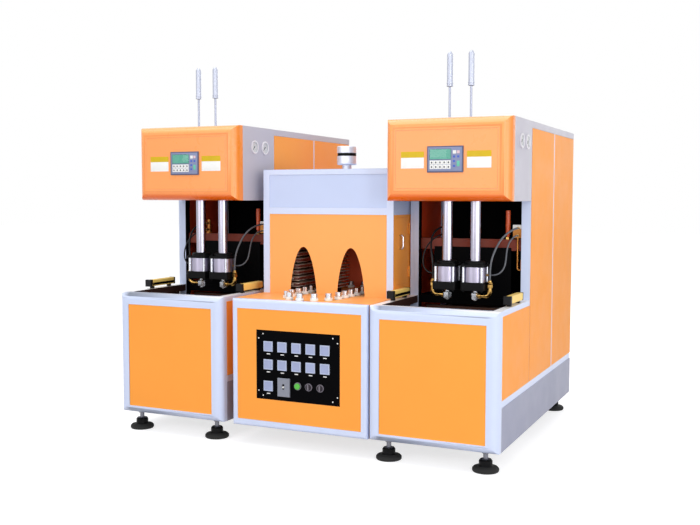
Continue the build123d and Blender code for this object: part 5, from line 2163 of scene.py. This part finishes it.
@dataclass
class Studio:
    """Camera at the photograph's angle, plain pale floor and soft light."""

    camera_place: tuple[float, float, float] = (2.2530, -4.9975, 1.308)
    yaw: float = 0.4314
    pitch: float = 0.0696
    roll: float = 0.0017
    lens: float = 48.05
    sensor: float = 36.0
    light_aim: tuple[float, float, float] = (0.0, 0.0, 0.9)
    world: float = 0.64
    floor_size: float = 60.0
    floor_glow: float = 0.7

    def build(self) -> None:
        """Sets the camera, the lights, the world and the floor."""
        scene = bpy.context.scene
        scene.view_settings.view_transform = "Standard"
        camera = new_object("camera", bpy.data.cameras.new("camera"))
        camera.data.lens = self.lens
        camera.data.sensor_width = self.sensor
        camera.data.clip_end = 200.0
        turn = Matrix.Rotation(self.yaw, 4, "Z")
        turn = turn @ Matrix.Rotation(math.pi / 2 - self.pitch, 4, "X")
        turn = turn @ Matrix.Rotation(self.roll, 4, "Z")
        camera.matrix_world = Matrix.Translation(self.camera_place) @ turn
        scene.camera = camera
        self.lamp("left_key_light", (-2.4, -7.3, 2.7), (4.0, 4.0), 108)
        self.lamp("right_key_light", (3.0, -7.0, 2.7), (4.0, 4.0), 62)
        self.lamp("strip_light", (4.1, -4.1, 1.9), (0.9, 3.2), 50)
        self.lamp("side_light", (6.5, -1.2, 2.6), (4.0, 4.0), 36)
        self.lamp("low_side_light", (6.0, -2.4, 1.25), (2.2, 1.6), 40)
        self.lamp("top_light", (-0.8, -0.8, 6.2), (5.0, 5.0), 180)
        self.lamp("back_light", (0.5, 7.0, 3.0), (4.0, 4.0), 90)
        self.sky()
        self.floor()

    def lamp(
        self, name: str, place: tuple[float, float, float], size: tuple[float, float], watts: float
    ) -> None:
        """Adds a soft rectangular light that faces the machine.

        Args:
            name: Name of the light.
            place: Its place.
            size: Its width and height, in metres.
            watts: Its power.
        """
        data = bpy.data.lights.new(name, "AREA")
        data.shape = "RECTANGLE"
        data.size, data.size_y = size
        data.energy = watts
        light = new_object(name, data)
        aim = Vector(self.light_aim) - Vector(place)
        turn = aim.to_track_quat("-Z", "Y").to_matrix().to_4x4()
        light.matrix_world = Matrix.Translation(place) @ turn

    def seen(self, tree: bpy.types.NodeTree) -> bpy.types.NodeSocket:
        """One where a ray from the camera, a mirror or a glass arrives, else zero.

        Args:
            tree: Tree of the floor or the world.

        Returns:
            Socket with the number.
        """
        path = add_node(tree, "ShaderNodeLightPath")
        mirror = add_node(
            tree,
            "ShaderNodeMath",
            {0: path.outputs["Is Camera Ray"], 1: path.outputs["Is Glossy Ray"]},
            operation="MAXIMUM",
        )
        glass = add_node(
            tree,
            "ShaderNodeMath",
            {0: mirror.outputs[0], 1: path.outputs["Is Transmission Ray"]},
            operation="MAXIMUM",
        )
        return glass.outputs[0]

    def sky(self) -> None:
        """Even pale world light, white where it is seen."""
        world = bpy.data.worlds.new("studio")
        bpy.context.scene.world = world
        tree = empty_tree(world)
        strength = add_node(
            tree,
            "ShaderNodeMapRange",
            {"Value": self.seen(tree), "To Min": self.world, "To Max": 1.0},
        )
        light = add_node(
            tree,
            "ShaderNodeBackground",
            {"Color": linear("#FFFFFF"), "Strength": strength.outputs[0]},
        )
        add_node(tree, "ShaderNodeOutputWorld", {"Surface": light.outputs[0]})

    def floor(self) -> None:
        """Plain pale floor that keeps the machine's shadow."""
        material = bpy.data.materials.new("pale_floor_paint")
        tree = empty_tree(material)
        coords = add_node(tree, "ShaderNodeTexCoord")
        links = {"Vector": coords.outputs["Object"], "Scale": 0.8}
        cloud = add_node(tree, "ShaderNodeTexNoise", links)
        paint = add_node(
            tree,
            "ShaderNodeMix",
            {"Factor": cloud.outputs["Fac"], 6: linear("#BBBBBE"), 7: linear("#BEBEC0")},
            data_type="RGBA",
        )
        glow = add_node(
            tree, "ShaderNodeMath", {0: self.seen(tree), 1: self.floor_glow}, operation="MULTIPLY"
        )
        shader = add_node(
            tree,
            "ShaderNodeBsdfPrincipled",
            {
                "Base Color": paint.outputs[2],
                "Roughness": 0.9,
                "Specular IOR Level": 0.1,
                "Emission Color": linear("#FFFFFF"),
                "Emission Strength": glow.outputs[0],
            },
        )
        add_node(tree, "ShaderNodeOutputMaterial", {"Surface": shader.outputs[0]})
        half = self.floor_size / 2
        mesh = bpy.data.meshes.new("floor")
        corners = [(-half, -half, 0), (half, -half, 0), (half, half, 0), (-half, half, 0)]
        mesh.from_pydata(corners, [], [(0, 1, 2, 3)])
        mesh.materials.append(material)
        new_object("floor", mesh)


def main() -> None:
    """Builds the studio and each sub-assembly in turn."""
    logging.basicConfig(level=logging.INFO, format="%(message)s", force=True)
    for part in (
        Studio(),
        CabinetBodies(),
        Heads(),
        BlowStations(),
        MouldClamps(),
        LightCurtains(),
        PreformOven(),
    ):
        log.info("building %s", type(part).__name__)
        part.build()


if __name__ == "__main__":
    main()
